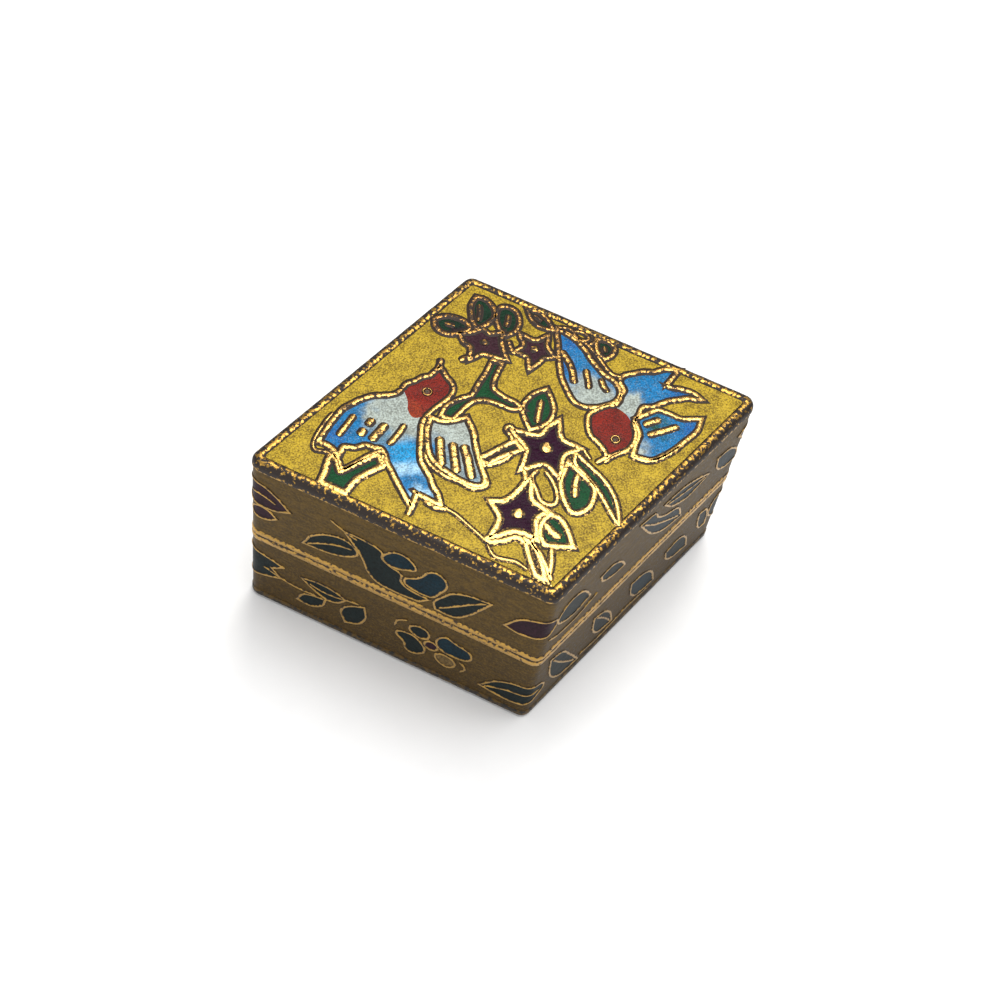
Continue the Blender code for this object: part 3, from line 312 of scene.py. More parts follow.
BASE_FRONT_LEFT = {
    "leaf": (SLATE, [(11.6, 2.8, SHARP), (11.1, 4.5), (11.9, 6.0), (13.4, 7.0, SHARP), (13.6, 5.2),
                     (12.9, 3.6)]),
    "left_petal": (SLATE, [(17.3, 5.4), (18.6, 6.1), (19.7, 5.5), (20.3, 4.2), (19.6, 3.1), (18.6, 3.0),
                           (18.2, 4.2)]),
    "right_petal": (PETROL, [(21.6, 7.2), (22.4, 8.5), (23.6, 8.1), (25.0, 7.6), (25.1, 6.4), (23.8, 5.8),
                             (22.2, 6.0)]),
    "+top_petal": (SLATE, [(18.6, 7.2), (19.3, 8.2), (20.3, 8.1), (20.5, 7.0), (19.7, 6.5)]),
    "+heart": (SIDE_PURPLE, [(20.4, 5.7), (20.9, 6.4), (21.6, 6.1), (21.5, 5.4), (20.9, 5.1)]),
    "+low_petal": (BROWN, [(21.7, 4.2), (22.3, 5.0), (23.4, 4.8), (23.6, 3.8), (22.7, 3.2)]),
    "+sprig_top": (SLATE, [(6.7, 7.3, SHARP), (8.3, 7.7), (10.0, 7.5), (11.3, 6.9, SHARP), (10.4, 5.8),
                           (9.3, 5.5), (7.8, 6.3)]),
    "+sprig_low": (SLATE, [(6.2, 2.9, SHARP), (6.7, 4.1), (7.6, 4.7), (9.1, 5.0, SHARP), (8.7, 3.7),
                           (7.6, 2.8)]),
    "+corner_leaf": (SLATE, [(-2.4, 8.0), (-0.4, 8.9), (1.8, 8.4), (4.2, 7.6, SHARP), (2.9, 6.6, SHARP),
                             (4.0, 5.4, SHARP), (2.0, 4.6), (0.0, 4.4), (-2.2, 5.2)]),
    "+end_leaf": (SLATE, [(26.9, 2.7, SHARP), (28.4, 4.7), (30.6, 5.8), (33.0, 5.7), (34.2, 4.2), (32.4, 2.9),
                          (29.6, 2.3)]),
}
LID_FRONT_RIGHT = {
    "small_leaf": (SLATE, [(8.2, 18.4, SHARP), (9.6, 18.5), (11.2, 17.4), (12.2, 15.8, SHARP), (10.3, 16.1),
                           (8.8, 17.0)]),
    "large_leaf": (SLATE_BLUE, [(13.4, 21.6, SHARP), (15.6, 21.0), (16.6, 19.4), (18.2, 18.0), (20.6, 16.6),
                                (21.8, 14.0, SHARP), (19.0, 14.8), (16.8, 16.5), (15.2, 18.6)]),
    "upper_leaf": (SLATE_BLUE, [(17.4, 20.9, SHARP), (19.6, 20.7), (22.4, 19.6), (25.2, 17.8, SHARP),
                                (22.2, 17.3), (19.4, 18.7)]),
    "+petals": (SLATE, [(1.8, 18.0), (2.6, 19.6), (4.0, 19.9), (5.4, 18.9), (6.6, 16.8, SHARP), (4.6, 16.2),
                        (2.8, 16.7)]),
    "+end_leaf": (SLATE_BLUE, [(26.6, 19.2, SHARP), (28.4, 18.8), (30.0, 17.4), (31.0, 15.4, SHARP),
                               (28.8, 15.6),
                               (27.2, 17.0)]),
}
BASE_FRONT_RIGHT = {
    "large_leaf": (SLATE, [(2.6, 9.0, SHARP), (4.4, 8.2), (6.0, 5.6), (8.0, 2.0, SHARP), (5.2, 2.6),
                           (3.3, 5.0)]),
    "small_leaf": (SLATE, [(21.8, 6.8, SHARP), (23.8, 7.1), (25.4, 5.6), (26.2, 3.2, SHARP), (23.8, 3.8),
                           (22.4, 5.0)]),
    "+sprig": (SLATE, [(9.6, 8.4, SHARP), (11.2, 7.6), (12.6, 5.6), (13.4, 3.2, SHARP), (11.2, 3.8),
                       (10.0, 5.6)]),
    "+middle": (PETROL, [(15.8, 7.6, SHARP), (17.8, 7.2), (19.6, 5.4), (20.6, 2.8, SHARP), (18.0, 3.2),
                         (16.4, 5.0)]),
    "+end": (SLATE, [(27.2, 8.2, SHARP), (28.3, 7.8), (28.9, 6.2), (29.2, 4.2, SHARP), (28.2, 4.6),
                     (27.5, 6.2)]),
}
# which cells each side has, in the CAD model's order of sides
PANELS = (
    ("front_left", LID_FRONT_LEFT, BASE_FRONT_LEFT),
    ("front_right", LID_FRONT_RIGHT, BASE_FRONT_RIGHT),
    ("back_right", {k: LID_FRONT_LEFT[k] for k in ("branch", "right_leaf", "+flower")}
     | {"+left_bud": LID_FRONT_LEFT["left_bud"], "+right_bud": LID_FRONT_LEFT["right_bud"],
        "+left_leaf": LID_FRONT_LEFT["left_leaf"], "+corner_bud": LID_FRONT_LEFT["+corner_bud"]},
     {k if k == "leaf" or k[0] == "+" else "+" + k: v for k, v in BASE_FRONT_LEFT.items()}),
    ("back_left", {k if k == "large_leaf" or k[0] == "+" else "+" + k: v for k, v in LID_FRONT_RIGHT.items()},
     {k if k == "large_leaf" or k[0] == "+" else "+" + k: v for k, v in BASE_FRONT_RIGHT.items()}),
)
SIDE_WIRE = 0.22
# veins and stems: side number, half, points
SIDE_STEMS = [
    (0, "lid", [(6.9, 14.3), (8.6, 15.6), (10.4, 16.5), (11.6, 16.8)]),
    (0, "lid", [(21.2, 13.6), (22.9, 15.3), (24.3, 16.8), (25.7, 18.1)]),
    (0, "lid", [(9.2, 20.3), (10.9, 19.3), (12.1, 18.9)]),
    (0, "lid", [(0.2, 19.3), (1.8, 19.3), (3.4, 18.6)]),
    (0, "base", [(2.2, 6.2), (4.5, 5.3), (6.4, 5.0), (8.2, 5.2)]),
    (0, "base", [(7.4, 6.9), (9.0, 6.5), (10.6, 6.7), (11.6, 7.0), (12.9, 7.3)]),
    (0, "base", [(27.2, 2.9), (29.4, 3.9), (32.0, 4.4), (33.6, 4.4)]),
    (0, "base", [(16.9, 6.6), (17.2, 7.8), (18.2, 8.6)]),
    (0, "base", [(24.2, 5.2), (24.9, 4.3), (24.4, 3.3)]),
    (1, "lid", [(14.0, 20.9), (16.2, 18.6), (18.6, 16.6), (21.3, 14.5)]),
    (1, "lid", [(18.0, 20.3), (20.8, 19.2), (24.6, 18.0)]),
    (1, "lid", [(0.8, 15.4), (2.2, 14.6), (5.2, 14.4), (8.2, 15.4)]),
    (1, "base", [(3.1, 8.3), (5.0, 5.4), (7.4, 2.6)]),
    (1, "base", [(8.4, 2.4), (12.4, 2.0), (16.0, 2.4), (20.0, 2.0)]),
    (1, "base", [(10.0, 8.0), (11.6, 6.0), (13.0, 3.7)]),
    (2, "lid", [(6.9, 14.3), (8.6, 15.6), (10.4, 16.5), (11.6, 16.8)]),
    (2, "lid", [(21.2, 13.6), (22.9, 15.3), (24.3, 16.8), (25.7, 18.1)]),
    (2, "base", [(2.2, 6.2), (4.5, 5.3), (6.4, 5.0), (8.2, 5.2)]),
    (3, "lid", [(14.0, 20.9), (16.2, 18.6), (18.6, 16.6), (21.3, 14.5)]),
    (3, "base", [(3.1, 8.3), (5.0, 5.4), (7.4, 2.6)]),
]


# ---- places on the box ----------------------------------------------------------------------
def on_plan(x, y, z):
    """The point x, y, z itself, for a slab that isn't drawn on the lid or a side."""
    return Vector((x, y, z))


def on_top(u, v, rise):
    """The point u, v of the lid's pattern, at a height counted from the lid's top."""
    turn = Matrix.Rotation(-HALF_ACUTE, 2) @ Vector((u, v))
    return Vector((turn.x, turn.y, HEIGHT + rise))


def corner(index, inset=0.0):
    """Centre, radius, middle heading and half sweep of a rounded vertical corner; 0 is the left one."""
    inset += CORNER_EASE
    radius = max(CORNER_RADIUS - inset, SMALLEST_RADIUS)
    acute = index % 2 == 0
    half_angle = HALF_ACUTE if acute else math.pi / 2 - HALF_ACUTE
    half_diagonal = SIDE * (math.cos(HALF_ACUTE) if acute else math.sin(HALF_ACUTE))
    reach = half_diagonal - (inset + radius) / math.sin(half_angle)
    middle = math.pi + index * math.pi / 2
    return reach * Vector((math.cos(middle), math.sin(middle))), radius, middle, math.pi / 2 - half_angle


def on_side(side):
    """The mapping of a side's s, z and rise out of the outer face; s runs on round the corners."""
    def place(s, z, rise):
        index = side
        while s < 0 or s > SIDE:
            index, s = (index - 1, s + SIDE) if s < 0 else (index + 1, s - SIDE)
        first = s < SIDE / 2
        centre, radius, middle, sweep = corner((index + (0 if first else 1)) % 4)
        tangent = radius * math.tan(sweep)
        from_corner = s if first else SIDE - s
        bend = min(from_corner / tangent, 1.0) * sweep
        heading = middle + (bend if first else -bend)
        out = Vector((math.cos(heading), math.sin(heading)))
        along = Vector((-out.y, out.x)) * (1 if first else -1)
        spot = centre + (radius + rise) * out + max(from_corner - tangent, 0.0) * along
        return Vector((spot.x, spot.y, z))
    return place


def plan(inset):
    """The box's outline moved in by an inset; every inset gives the same number of points."""
    points = []
    for index in range(4):
        centre, radius, middle, sweep = corner(index, inset)
        arc = [centre + radius * Vector((math.cos(a), math.sin(a)))
               for a in (middle + sweep * (2 * k / ARC_STEPS - 1) for k in range(ARC_STEPS + 1))]
        points += arc
        centre, radius, middle, sweep = corner((index + 1) % 4, inset)
        start = middle - sweep
        end = centre + radius * Vector((math.cos(start), math.sin(start)))
        points += [arc[-1].lerp(end, k / SIDE_STEPS) for k in range(1, SIDE_STEPS)]
    return points


# ---- outlines ---------------------------------------------------------------------------------
def smooth(points, closed):
    """Evenly spaced points along a curve through the given ones; a SHARP one keeps its corner."""
    count = len(points)
    spots = [Vector(p[:2]) for p in points]
    path = []
    for i in range(count if closed else count - 1):
        start, end = spots[i], spots[(i + 1) % count]
        chord = end - start
        open_start = not closed and i == 0
        open_end = not closed and i == count - 2
        sharp_start = len(points[i]) == 3 or open_start
        leave = chord if sharp_start else (end - spots[i - 1]).normalized() * chord.length
        after = spots[(i + 2) % count]
        sharp_end = len(points[(i + 1) % count]) == 3 or open_end
        arrive = chord if sharp_end else (after - start).normalized() * chord.length
        steps = max(1, round(chord.length / PATH_STEP))
        for step in range(steps):
            t = step / steps
            path.append(start * (2 * t ** 3 - 3 * t ** 2 + 1) + leave * (t ** 3 - 2 * t ** 2 + t)
                        + end * (3 * t ** 2 - 2 * t ** 3) + arrive * (t ** 3 - t ** 2))
    return path if closed else path + [spots[-1]]


def is_clockwise(path):
    """True where a closed path runs clockwise, from its signed area."""
    return sum(a.x * b.y - b.x * a.y for a, b in zip(path, path[1:] + path[:1])) < 0


def normals(path, closed):
    """Mitred normals pointing to the right of the path's direction."""
    count = len(path)
    result = []
    for i, here in enumerate(path):
        before = path[i - 1] if closed or i else here
        after = path[(i + 1) % count] if closed or i < count - 1 else here
        into, out = (here - before).normalized(), (after - here).normalized()
        along = (into + out).normalized() if (into + out).length > 1e-6 else (into or out)
        side = Vector((along.y, -along.x))
        lean = max(side.dot(Vector((into.y, -into.x)) if into.length else side), 0.5)
        result.append(side / lean)
    return result


def shift(path, distance, closed):
    """The path moved to its right by a distance."""
    return [p + n * distance for p, n in zip(path, normals(path, closed))]


def inside(path, x, y):
    """True where a point lies inside a closed path."""
    hit = False
    for a, b in zip(path, path[1:] + path[:1]):
        if (a.y > y) != (b.y > y) and x < (b.x - a.x) * (y - a.y) / (b.y - a.y) + a.x:
            hit = not hit
    return hit


# ---- meshes -----------------------------------------------------------------------------------
def new_piece(name, bm, material, body, slot_name, *nodes):
    """A finished piece: its mesh, finish, body and the CAD nodes that it stands for."""
    bmesh.ops.recalc_face_normals(bm, faces=bm.faces)
    mesh = bpy.data.meshes.new(name)
    bm.to_mesh(mesh)
    bm.free()
    mesh.transform(Matrix.Scale(MM, 4))
    mesh.materials.append(material)
    obj = bpy.data.objects.new(name, mesh)
    bpy.context.scene.collection.objects.link(obj)
    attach(obj, body)
    if nodes:
        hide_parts(*nodes)
    return obj


def shade(obj, angle=40):
    """Smooth shading, with creases where faces meet at more than an angle."""
    obj.data.shade_smooth()
    obj.data.set_sharp_from_angle(angle=math.radians(angle))
    return obj


def slab(bm, place, outline, level, step, colour, tints, bottom=SLAB_BOTTOM):
    """A closed plate on an outline, with a gently uneven face and a colour at each point."""
    xs, ys = [p.x for p in outline], [p.y for p in outline]
    points = [Vector(p) for p in outline]
    edges = [(i, (i + 1) % len(points)) for i in range(len(points))]
    for row in range(int((max(ys) - min(ys)) / step) + 1):
        for column in range(int((max(xs) - min(xs)) / step) + 1):
            x = min(xs) + (column + 0.5 * (row % 2)) * step
            y = min(ys) + (row + 0.5) * step
            spot = Vector((x, y))
            if inside(outline, x, y) and min((spot - p).length for p in points[:len(outline)]) > step / 3:
                points.append(spot)
    spots, _, faces, *_ = delaunay_2d_cdt(points, edges, [], 1, 1e-6)
    tint = bm.verts.layers.float_color.get("tint") or bm.verts.layers.float_color.new("tint")
    upper, lower = [], []
    for p in spots:
        wave = 0.012 * noise.noise(Vector((p.x, p.y, 3.0)) * 0.9)
        for verts, rise in ((upper, level + wave), (lower, bottom)):
            vert = bm.verts.new(place(p.x, p.y, rise))
            vert[tint] = (*tinted(p, colour, tints), 1.0)
            verts.append(vert)
    seen = {}
    for face in faces:
        bm.faces.new([upper[i] for i in face])
        bm.faces.new([lower[i] for i in reversed(face)])
        for a, b in zip(face, face[1:] + face[:1]):
            seen[(a, b)] = True
    for a, b in seen:
        if (b, a) not in seen:
            bm.faces.new([upper[b], upper[a], lower[a], lower[b]])


def tinted(p, colour, tints):
    """The cell's colour at a point, with its tints run into each other."""
    result = Vector(colour)
    for u, v, radius, other in tints:
        waver = 0.9 * noise.noise(Vector((p.x, p.y, 9.0)) * 1.4)
        soft = min(1.5, radius * 0.75)
        weight = (radius + waver * soft - math.hypot(p.x - u, p.y - v)) / soft
        weight = min(max(weight, 0.0), 1.0)
        result = result.lerp(Vector(other), weight * weight * (3 - 2 * weight))
    return result


def strip(bm, place, path, width, closed, foot, flank, wobble=0.16):
    """A rounded metal ridge along a path; its edge attribute is 1 on the dark flanks and 0 on top."""
    edge = bm.verts.layers.float.get("edge") or bm.verts.layers.float.new("edge")
    columns = ((-1, -flank, foot, 1.0), (-1, -flank / 3, foot * 0.75, 1.0), (-1, 0, RIDGE_SHOULDER, 0.6),
               (-0.5, 0, RIDGE_TOP, 0.0), (0.5, 0, RIDGE_TOP, 0.0), (1, 0, RIDGE_SHOULDER, 0.6),
               (1, flank / 3, foot * 0.75, 1.0), (1, flank, foot, 1.0), (1, flank, SLAB_BOTTOM, 1.0),
               (-1, -flank, SLAB_BOTTOM, 1.0))
    sides = normals(path, closed)
    travelled = [0.0]
    for a, b in zip(path, path[1:]):
        travelled.append(travelled[-1] + (b - a).length)
    rings = []
    for p, side, run in zip(path, sides, travelled):
        to_end = width if closed else min(run, travelled[-1] - run)
        taper = math.sqrt(1 - (1 - min(to_end / (width / 2), 1.0)) ** 2) * 0.7 + 0.3
        sway = 0.04 * noise.noise(Vector((p.x, p.y, 5.0)) * 0.8)
        ring = []
        for across, extra, rise, dark in columns:
            uneven = 1 + wobble * noise.noise(Vector((p.x * 1.6, p.y * 1.6, 1.0 + across)))
            spot = p + side * (across * width / 2 * uneven * taper + extra + sway)
            vert = bm.verts.new(place(spot.x, spot.y, rise))
            vert[edge] = dark
            ring.append(vert)
        rings.append(ring)
    pairs = list(zip(rings, rings[1:] + rings[:1])) if closed else list(zip(rings, rings[1:]))
    for a, b in pairs:
        for k in range(len(columns)):
            j = (k + 1) % len(columns)
            bm.faces.new([a[k], a[j], b[j], b[k]])
    if not closed:
        bm.faces.new(rings[0])
        bm.faces.new(rings[-1][::-1])


def swept(profile, closed=True, rough=0.0):
    """A mesh swept round the box: profile points are (inset, z, edge), roughened inwards."""
    bm = bmesh.new()
    edge = bm.verts.layers.float.new("edge")
    rings = []
    for inset, z, dark in profile:
        ring = []
        for p in plan(inset):
            dent = rough * (0.5 + 0.5 * noise.noise(Vector((p.x, p.y, z)) * 1.1))
            inwards = -p.normalized() * dent
            vert = bm.verts.new((p.x + inwards.x, p.y + inwards.y, z))
            vert[edge] = dark
            ring.append(vert)
        rings.append(ring)
    for a, b in (zip(rings, rings[1:] + rings[:1]) if closed else zip(rings, rings[1:])):
        for k in range(len(a)):
            j = (k + 1) % len(a)
            bm.faces.new([a[k], a[j], b[j], b[k]])
    if not closed:
        bm.faces.new(rings[0][::-1])
        bm.faces.new(rings[-1])
    return bm


# ---- finishes ---------------------------------------------------------------------------------
ENAMEL_SHINE = 0.12    # specular level of worn enamel
BROWN_SHINE = 0.07
DARKEST_METALLIC = 0.25
DARKEST_ROUGHNESS = 0.6


class Look:
    """A material's node graph, with short calls for the nodes used here."""

    def __init__(self, name, roughness, metallic=0.0):
        self.material = bpy.data.materials.new(name)
        self.material.use_nodes = True
        self.tree = self.material.node_tree
        self.shader = self.tree.nodes["Principled BSDF"]
        self.shader.inputs["Roughness"].default_value = roughness
        self.shader.inputs["Metallic"].default_value = metallic
        self.place = self.tree.nodes.new("ShaderNodeTexCoord").outputs["Object"]

    def feed(self, socket, value):
        if isinstance(value, bpy.types.NodeSocket):
            self.tree.links.new(value, socket)
        else:
            socket.default_value = value

    def add(self, kind, inputs, **settings):
        made = self.tree.nodes.new(kind)
        for key, value in settings.items():
            setattr(made, key, value)
        for key, value in inputs.items():
            self.feed(made.inputs[key], value)
        return made

    def attribute(self, name, output):
        return self.add("ShaderNodeAttribute", {}, attribute_name=name).outputs[output]

    def grain(self, size, detail=3.0, stretch=None):
        """Noise with features of a size in millimetres."""
        place = self.place
        if stretch:
            place = self.add("ShaderNodeVectorMath", {0: place, 1: stretch}, operation="MULTIPLY").outputs[0]
        made = self.add("ShaderNodeTexNoise", {"Vector": place, "Scale": 1 / (size * MM), "Detail": detail})
        return made.outputs["Fac"]

    def sum(self, a, b, gain=1.0):
        """a plus gain times b."""
        return self.add("ShaderNodeMath", {0: b, 1: gain, 2: a}, operation="MULTIPLY_ADD").outputs[0]

    def span(self, value, low, high, to_low=0.0, to_high=1.0):
        made = self.add("ShaderNodeMapRange", {"Value": value, "From Min": low, "From Max": high,
                                               "To Min": to_low, "To Max": to_high})
        return made.outputs["Result"]

    def mix(self, factor, a, b, blend="MIX"):
        made = self.add("ShaderNodeMix", {}, data_type="RGBA", blend_type=blend)
        for index, value in ((0, factor), (6, a), (7, b)):
            self.feed(made.inputs[index], (*value, 1.0) if isinstance(value, tuple) else value)
        return made.outputs[2]

    def set(self, **inputs):
        for key, value in inputs.items():
            self.feed(self.shader.inputs[key.replace("_", " ")], value)
        return self

    def bump(self, height, depth, strength=1.0):
        """A bump of a depth in millimetres."""
        made = self.add("ShaderNodeBump", {"Height": height, "Distance": depth * MM, "Strength": strength})
        self.feed(self.shader.inputs["Normal"], made.outputs["Normal"])
        return self


def gilt_look(name, gold, dark, start, end, roughness, edge_gain=0.55, pit=0.3, back_tarnish_and_shade=0.0):
    """Worn gilding: bright on top, brown in pits and on flanks, and by the last argument browner towards the
    back, partly tarnish and partly painted shade.
    """
    look = Look(name, roughness, 1.0)
    pits = look.span(look.grain(pit, 5.0), 0.3, 0.7)
    dark_sum = look.sum(pits, look.attribute("edge", "Fac"), edge_gain)
    tone = look.mix(look.span(look.grain(1.7), 0.35, 0.65), gold, tuple(0.8 * c for c in gold))
    # partly tarnish, partly painted shade: the gold is made browner and darker towards the back of the lid
    if back_tarnish_and_shade:
        towards_back = look.add("ShaderNodeSeparateXYZ", {0: look.place}).outputs["Y"]
        dark_sum = look.sum(dark_sum, towards_back, back_tarnish_and_shade)
        tone = look.mix(look.span(towards_back, -0.006, 0.014), tone, BACK_TARNISH_AND_SHADE)
    dark_share = look.span(dark_sum, start, end)
    colour = look.mix(dark_share, tone, dark)
    look.set(Base_Color=colour, Metallic=look.span(dark_share, 0.0, 1.0, 1.0, DARKEST_METALLIC),
             Roughness=look.span(dark_share, 0.0, 1.0, roughness, DARKEST_ROUGHNESS))
    look.bump(look.sum(pits, look.grain(0.9), 1.5), 0.02, 0.7)
    return look.material


def enamel_look(name, roughness, contrast, grain, depth=0.02, speckle=0.0, shine=ENAMEL_SHINE):
    """Fused glass: each point's own tint, clouded and grainy, with pale flecks by speckle."""
    look = Look(name, roughness)
    look.shader.inputs["Specular IOR Level"].default_value = shine
    tint = look.attribute("tint", "Color")
    fine = look.grain(grain, 4.0)
    cloud = look.grain(1.6, 2.0)
    dark = look.mix(contrast, tint, look.mix(1.0, tint, (0.4, 0.34, 0.3), "MULTIPLY"))
    light = look.mix(contrast, tint, look.mix(1.0, tint, (1.8, 1.75, 1.7), "MULTIPLY"))
    colour = look.mix(look.span(look.sum(fine, cloud, 0.35), 0.53, 0.82), dark, light)
    if speckle:
        fleck = look.span(look.sum(look.grain(0.12, 2.0), look.grain(0.7), 0.3), 0.72, 0.84, 0.0, speckle)
        colour = look.mix(fleck, colour, srgb(205, 225, 235))
    look.set(Base_Color=colour)
    look.bump(look.sum(fine, cloud, 2.0), depth, 0.6)
    return look.material


def brown_look():
    """Brown side enamel: soft brush streaks along the sides, darker towards the floor."""
    look = Look("brown_side_enamel", 0.42)
    look.shader.inputs["Specular IOR Level"].default_value = BROWN_SHINE
    height = look.add("ShaderNodeSeparateXYZ", {0: look.place}).outputs["Z"]
    streaks = look.grain(1.3, 4.0, (1.0, 1.0, 2.6))
    fine = look.grain(0.22, 4.0)
    level = look.span(look.sum(height, streaks, 0.006), 0.001, 0.024)
    colour = look.mix(level, srgb(56, 38, 8), srgb(90, 68, 24))
    colour = look.mix(look.span(streaks, 0.4, 0.7), look.mix(0.6, colour, srgb(50, 38, 18)), colour)
    colour = look.mix(look.span(fine, 0.45, 0.75, 0.0, 0.5), colour, srgb(124, 100, 54))
    look.set(Base_Color=colour, Roughness=look.span(fine, 0.3, 0.7, 0.32, 0.55))
    look.bump(look.sum(fine, streaks, 1.6), 0.03, 0.6)
    return look.material


# gilt: gold, dark, darkening where it starts and ends, roughness, edge gain, pit size, browning towards the
# back (partly tarnish, partly painted shade)
# enamel: roughness, contrast, grain size, bump depth, speckle, shine
LOOKS = {
    "ridge": gilt_look("gilt_ridges", srgb(206, 166, 96), srgb(40, 24, 12), 0.6, 0.9, 0.26, 0.75, 0.3, 20.0),
    "wire": gilt_look("gilt_side_wires", srgb(180, 142, 74), srgb(50, 36, 20), 0.72, 1.02, 0.34, 0.6, 0.4),
    "top_rim": gilt_look("worn_top_rim", srgb(190, 148, 70), srgb(34, 22, 14), 0.50, 0.74, 0.38, 0.50, 0.34),
    "mouth_rim": gilt_look("worn_mouth_rims", srgb(186, 146, 74), srgb(52, 36, 18), 0.72, 1.0, 0.38, 0.6, 0.4),
    "foot_rim": gilt_look("worn_foot_rim", srgb(112, 90, 54), srgb(34, 28, 22), 0.6, 0.95, 0.5, 0.4, 0.5),
    "collar": gilt_look("collar_brass", srgb(214, 176, 96), srgb(120, 84, 36), 0.9, 1.5, 0.26, 0.5, 0.8),
    "copper": gilt_look("copper_shell", srgb(190, 128, 84), srgb(90, 52, 30), 0.6, 1.1, 0.4, 0.2, 0.6),
    "ochre_enamel": enamel_look("ochre_enamel", 0.38, 0.9, 0.15, 0.035),
    "red_enamel": enamel_look("red_enamel", 0.38, 0.9, 0.16, 0.035),
    "blue_enamel": enamel_look("blue_enamel", 0.34, 0.6, 0.18, 0.03, 0.22),
    "green_enamel": enamel_look("green_enamel", 0.32, 0.6, 0.2, 0.03, 0.0, 0.07),
    "purple_enamel": enamel_look("purple_enamel", 0.26, 0.4, 0.25, 0.04, 0.0, 0.04),
    "teal_enamel": enamel_look("teal_enamel", 0.4, 0.6, 0.25, 0.03, 0.0, 0.05),
    "lining_enamel": enamel_look("lining_enamel", 0.28, 0.4, 0.35, 0.02, 0.2),
    "brown_enamel": brown_look(),
}

# ---- metal rims, collar, shells and linings ---------------------------------------------------
# profiles of the rims: (inset, z, edge), where edge is 1 where the metal is darkest
RIM_SEAT = 0.58
TOP_RIM = [(0.03, TOP_RIM_LOW, 0.6), (0.0, TOP_RIM_LOW + 0.1, 0.1), (0.0, TOP_RIM_LOW + 0.22, 0.5),
           (0.02, TOP_RIM_LOW + 0.4, 1.0), (0.06, HEIGHT - 0.5, 1.0), (0.18, HEIGHT - 0.26, 0.95),
           (0.36, HEIGHT - 0.1, 0.75), (0.58, HEIGHT - 0.02, 0.45), (0.8, HEIGHT - 0.005, 0.2),
           (0.96, HEIGHT - 0.03, 0.25), (1.08, HEIGHT - 0.09, 1.0), (1.14, HEIGHT - 0.13, 1.0),
           (1.14, HEIGHT - 0.5, 1.0), (0.7, HEIGHT - 0.55, 1.0), (RIM_SEAT, HEIGHT - 0.8, 1.0),
           (RIM_SEAT, TOP_RIM_LOW, 1.0)]
LID_MOUTH_RIM = [(0.1, LID_MOUTH_LOW, 1.0), (0.02, LID_MOUTH_LOW + 0.06, 0.7),
                 (0.0, LID_MOUTH_LOW + 0.2, 0.2),
                 (0.0, LID_MOUTH_TOP - 0.3, 0.0), (0.03, LID_MOUTH_TOP - 0.1, 0.3), (0.1, LID_MOUTH_TOP, 0.9),
                 (0.54, LID_MOUTH_TOP, 1.0), (0.54, LID_MOUTH_LOW, 1.0)]
BASE_MOUTH_RIM = [(0.1, MOUTH_LOW, 1.0), (0.03, MOUTH_LOW + 0.1, 0.5), (0.0, MOUTH_LOW + 0.3, 0.1),
                  (0.0, MOUTH_TOP - 0.3, 0.2), (0.02, MOUTH_TOP - 0.08, 0.8), (0.1, MOUTH_TOP, 1.0),
                  (0.54, MOUTH_TOP, 0.6), (0.54, MOUTH_LOW, 1.0)]
FOOT_RING = [(0.98, 0.0, 0.9), (0.3, 0.0, 0.9), (0.08, 0.06, 1.0), (0.0, 0.22, 1.0),
             (0.0, FOOT_TOP - 0.2, 0.8),
             (0.06, FOOT_TOP, 0.5), (0.56, FOOT_TOP, 1.0), (0.56, 0.53, 1.0), (0.98, 0.5, 1.0)]
COLLAR_RING = [(1.47, COLLAR[0], 0.4), (1.47, COLLAR[1] - 0.2, 0.0), (1.53, COLLAR[1] - 0.06, 0.0),
               (1.62, COLLAR[1], 0.0), (1.82, COLLAR[1], 0.0), (1.91, COLLAR[1] - 0.06, 0.1),
               (1.96, COLLAR[1] - 0.2, 0.2), (1.96, COLLAR[0], 0.6)]
RINGS = {
    "base_foot_rim": (FOOT_RING, "foot_rim", "base", 0.05),
    "base_mouth_rim": (BASE_MOUTH_RIM, "mouth_rim", "base", 0.04),
    "base_collar": (COLLAR_RING, "collar", "base", 0.0),
    "lid_mouth_rim": (LID_MOUTH_RIM, "mouth_rim", "lid", 0.04),
    "lid_top_rim": (TOP_RIM, "top_rim", "lid", 0.06),
}
for node, (profile, look, body, rough) in RINGS.items():
    shade(new_piece(node.replace("base_", "base_worn_").replace("lid_", "lid_worn_"),
                    swept(profile, True, rough), LOOKS[look], body, "gilt_brass", node), 50)

for node in ("base_shell", "lid_shell"):
    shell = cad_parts[node]
    for slot_index in range(len(shell.material_slots)):
        shell.material_slots[slot_index].material = LOOKS["copper"]

WALL_OUT, WALL_IN, FILLET = 1.41, 1.71, 0.6
FILLET_STEPS = 5
FLOOR_THICKNESS = 0.3
UNDERSIDE_INSET = 1.03
UNDERSIDE_STEP = 1.2


def lining(name, node, body, rim_level, floor_level, far_level):
    """An enamel lining: a wall, a rounded foot and a floor, as one closed tray."""
    away = 1 if floor_level > rim_level else -1
    fillet = [(WALL_IN + FILLET * (1 - math.cos(a)), floor_level - away * FILLET * (1 - math.sin(a)), 0.0)
              for a in (math.pi / 2 * k / FILLET_STEPS for k in range(FILLET_STEPS + 1))]
    profile = [(WALL_OUT, far_level, 0.0), (WALL_OUT, rim_level, 0.0), (WALL_IN, rim_level, 0.0), *fillet]
    bm = swept(profile, closed=False)
    tint = bm.verts.layers.float_color.new("tint")
    for vert in bm.verts:
        vert[tint] = (*LINING, 1.0)
    bmesh.ops.triangulate(bm, faces=[f for f in bm.faces if len(f.verts) > 4])
    return shade(new_piece(name, bm, LOOKS["lining_enamel"], body, "lining_enamel", node))


lining("base_lining", "base_inside_enamel", "base", BASE_LINING[1],
       BASE_LINING[0] + FLOOR_THICKNESS, BASE_LINING[0])
lining("lid_lining", "lid_inside_enamel", "lid", LID_LINING[0],
       LID_LINING[1] - FLOOR_THICKNESS, LID_LINING[1])

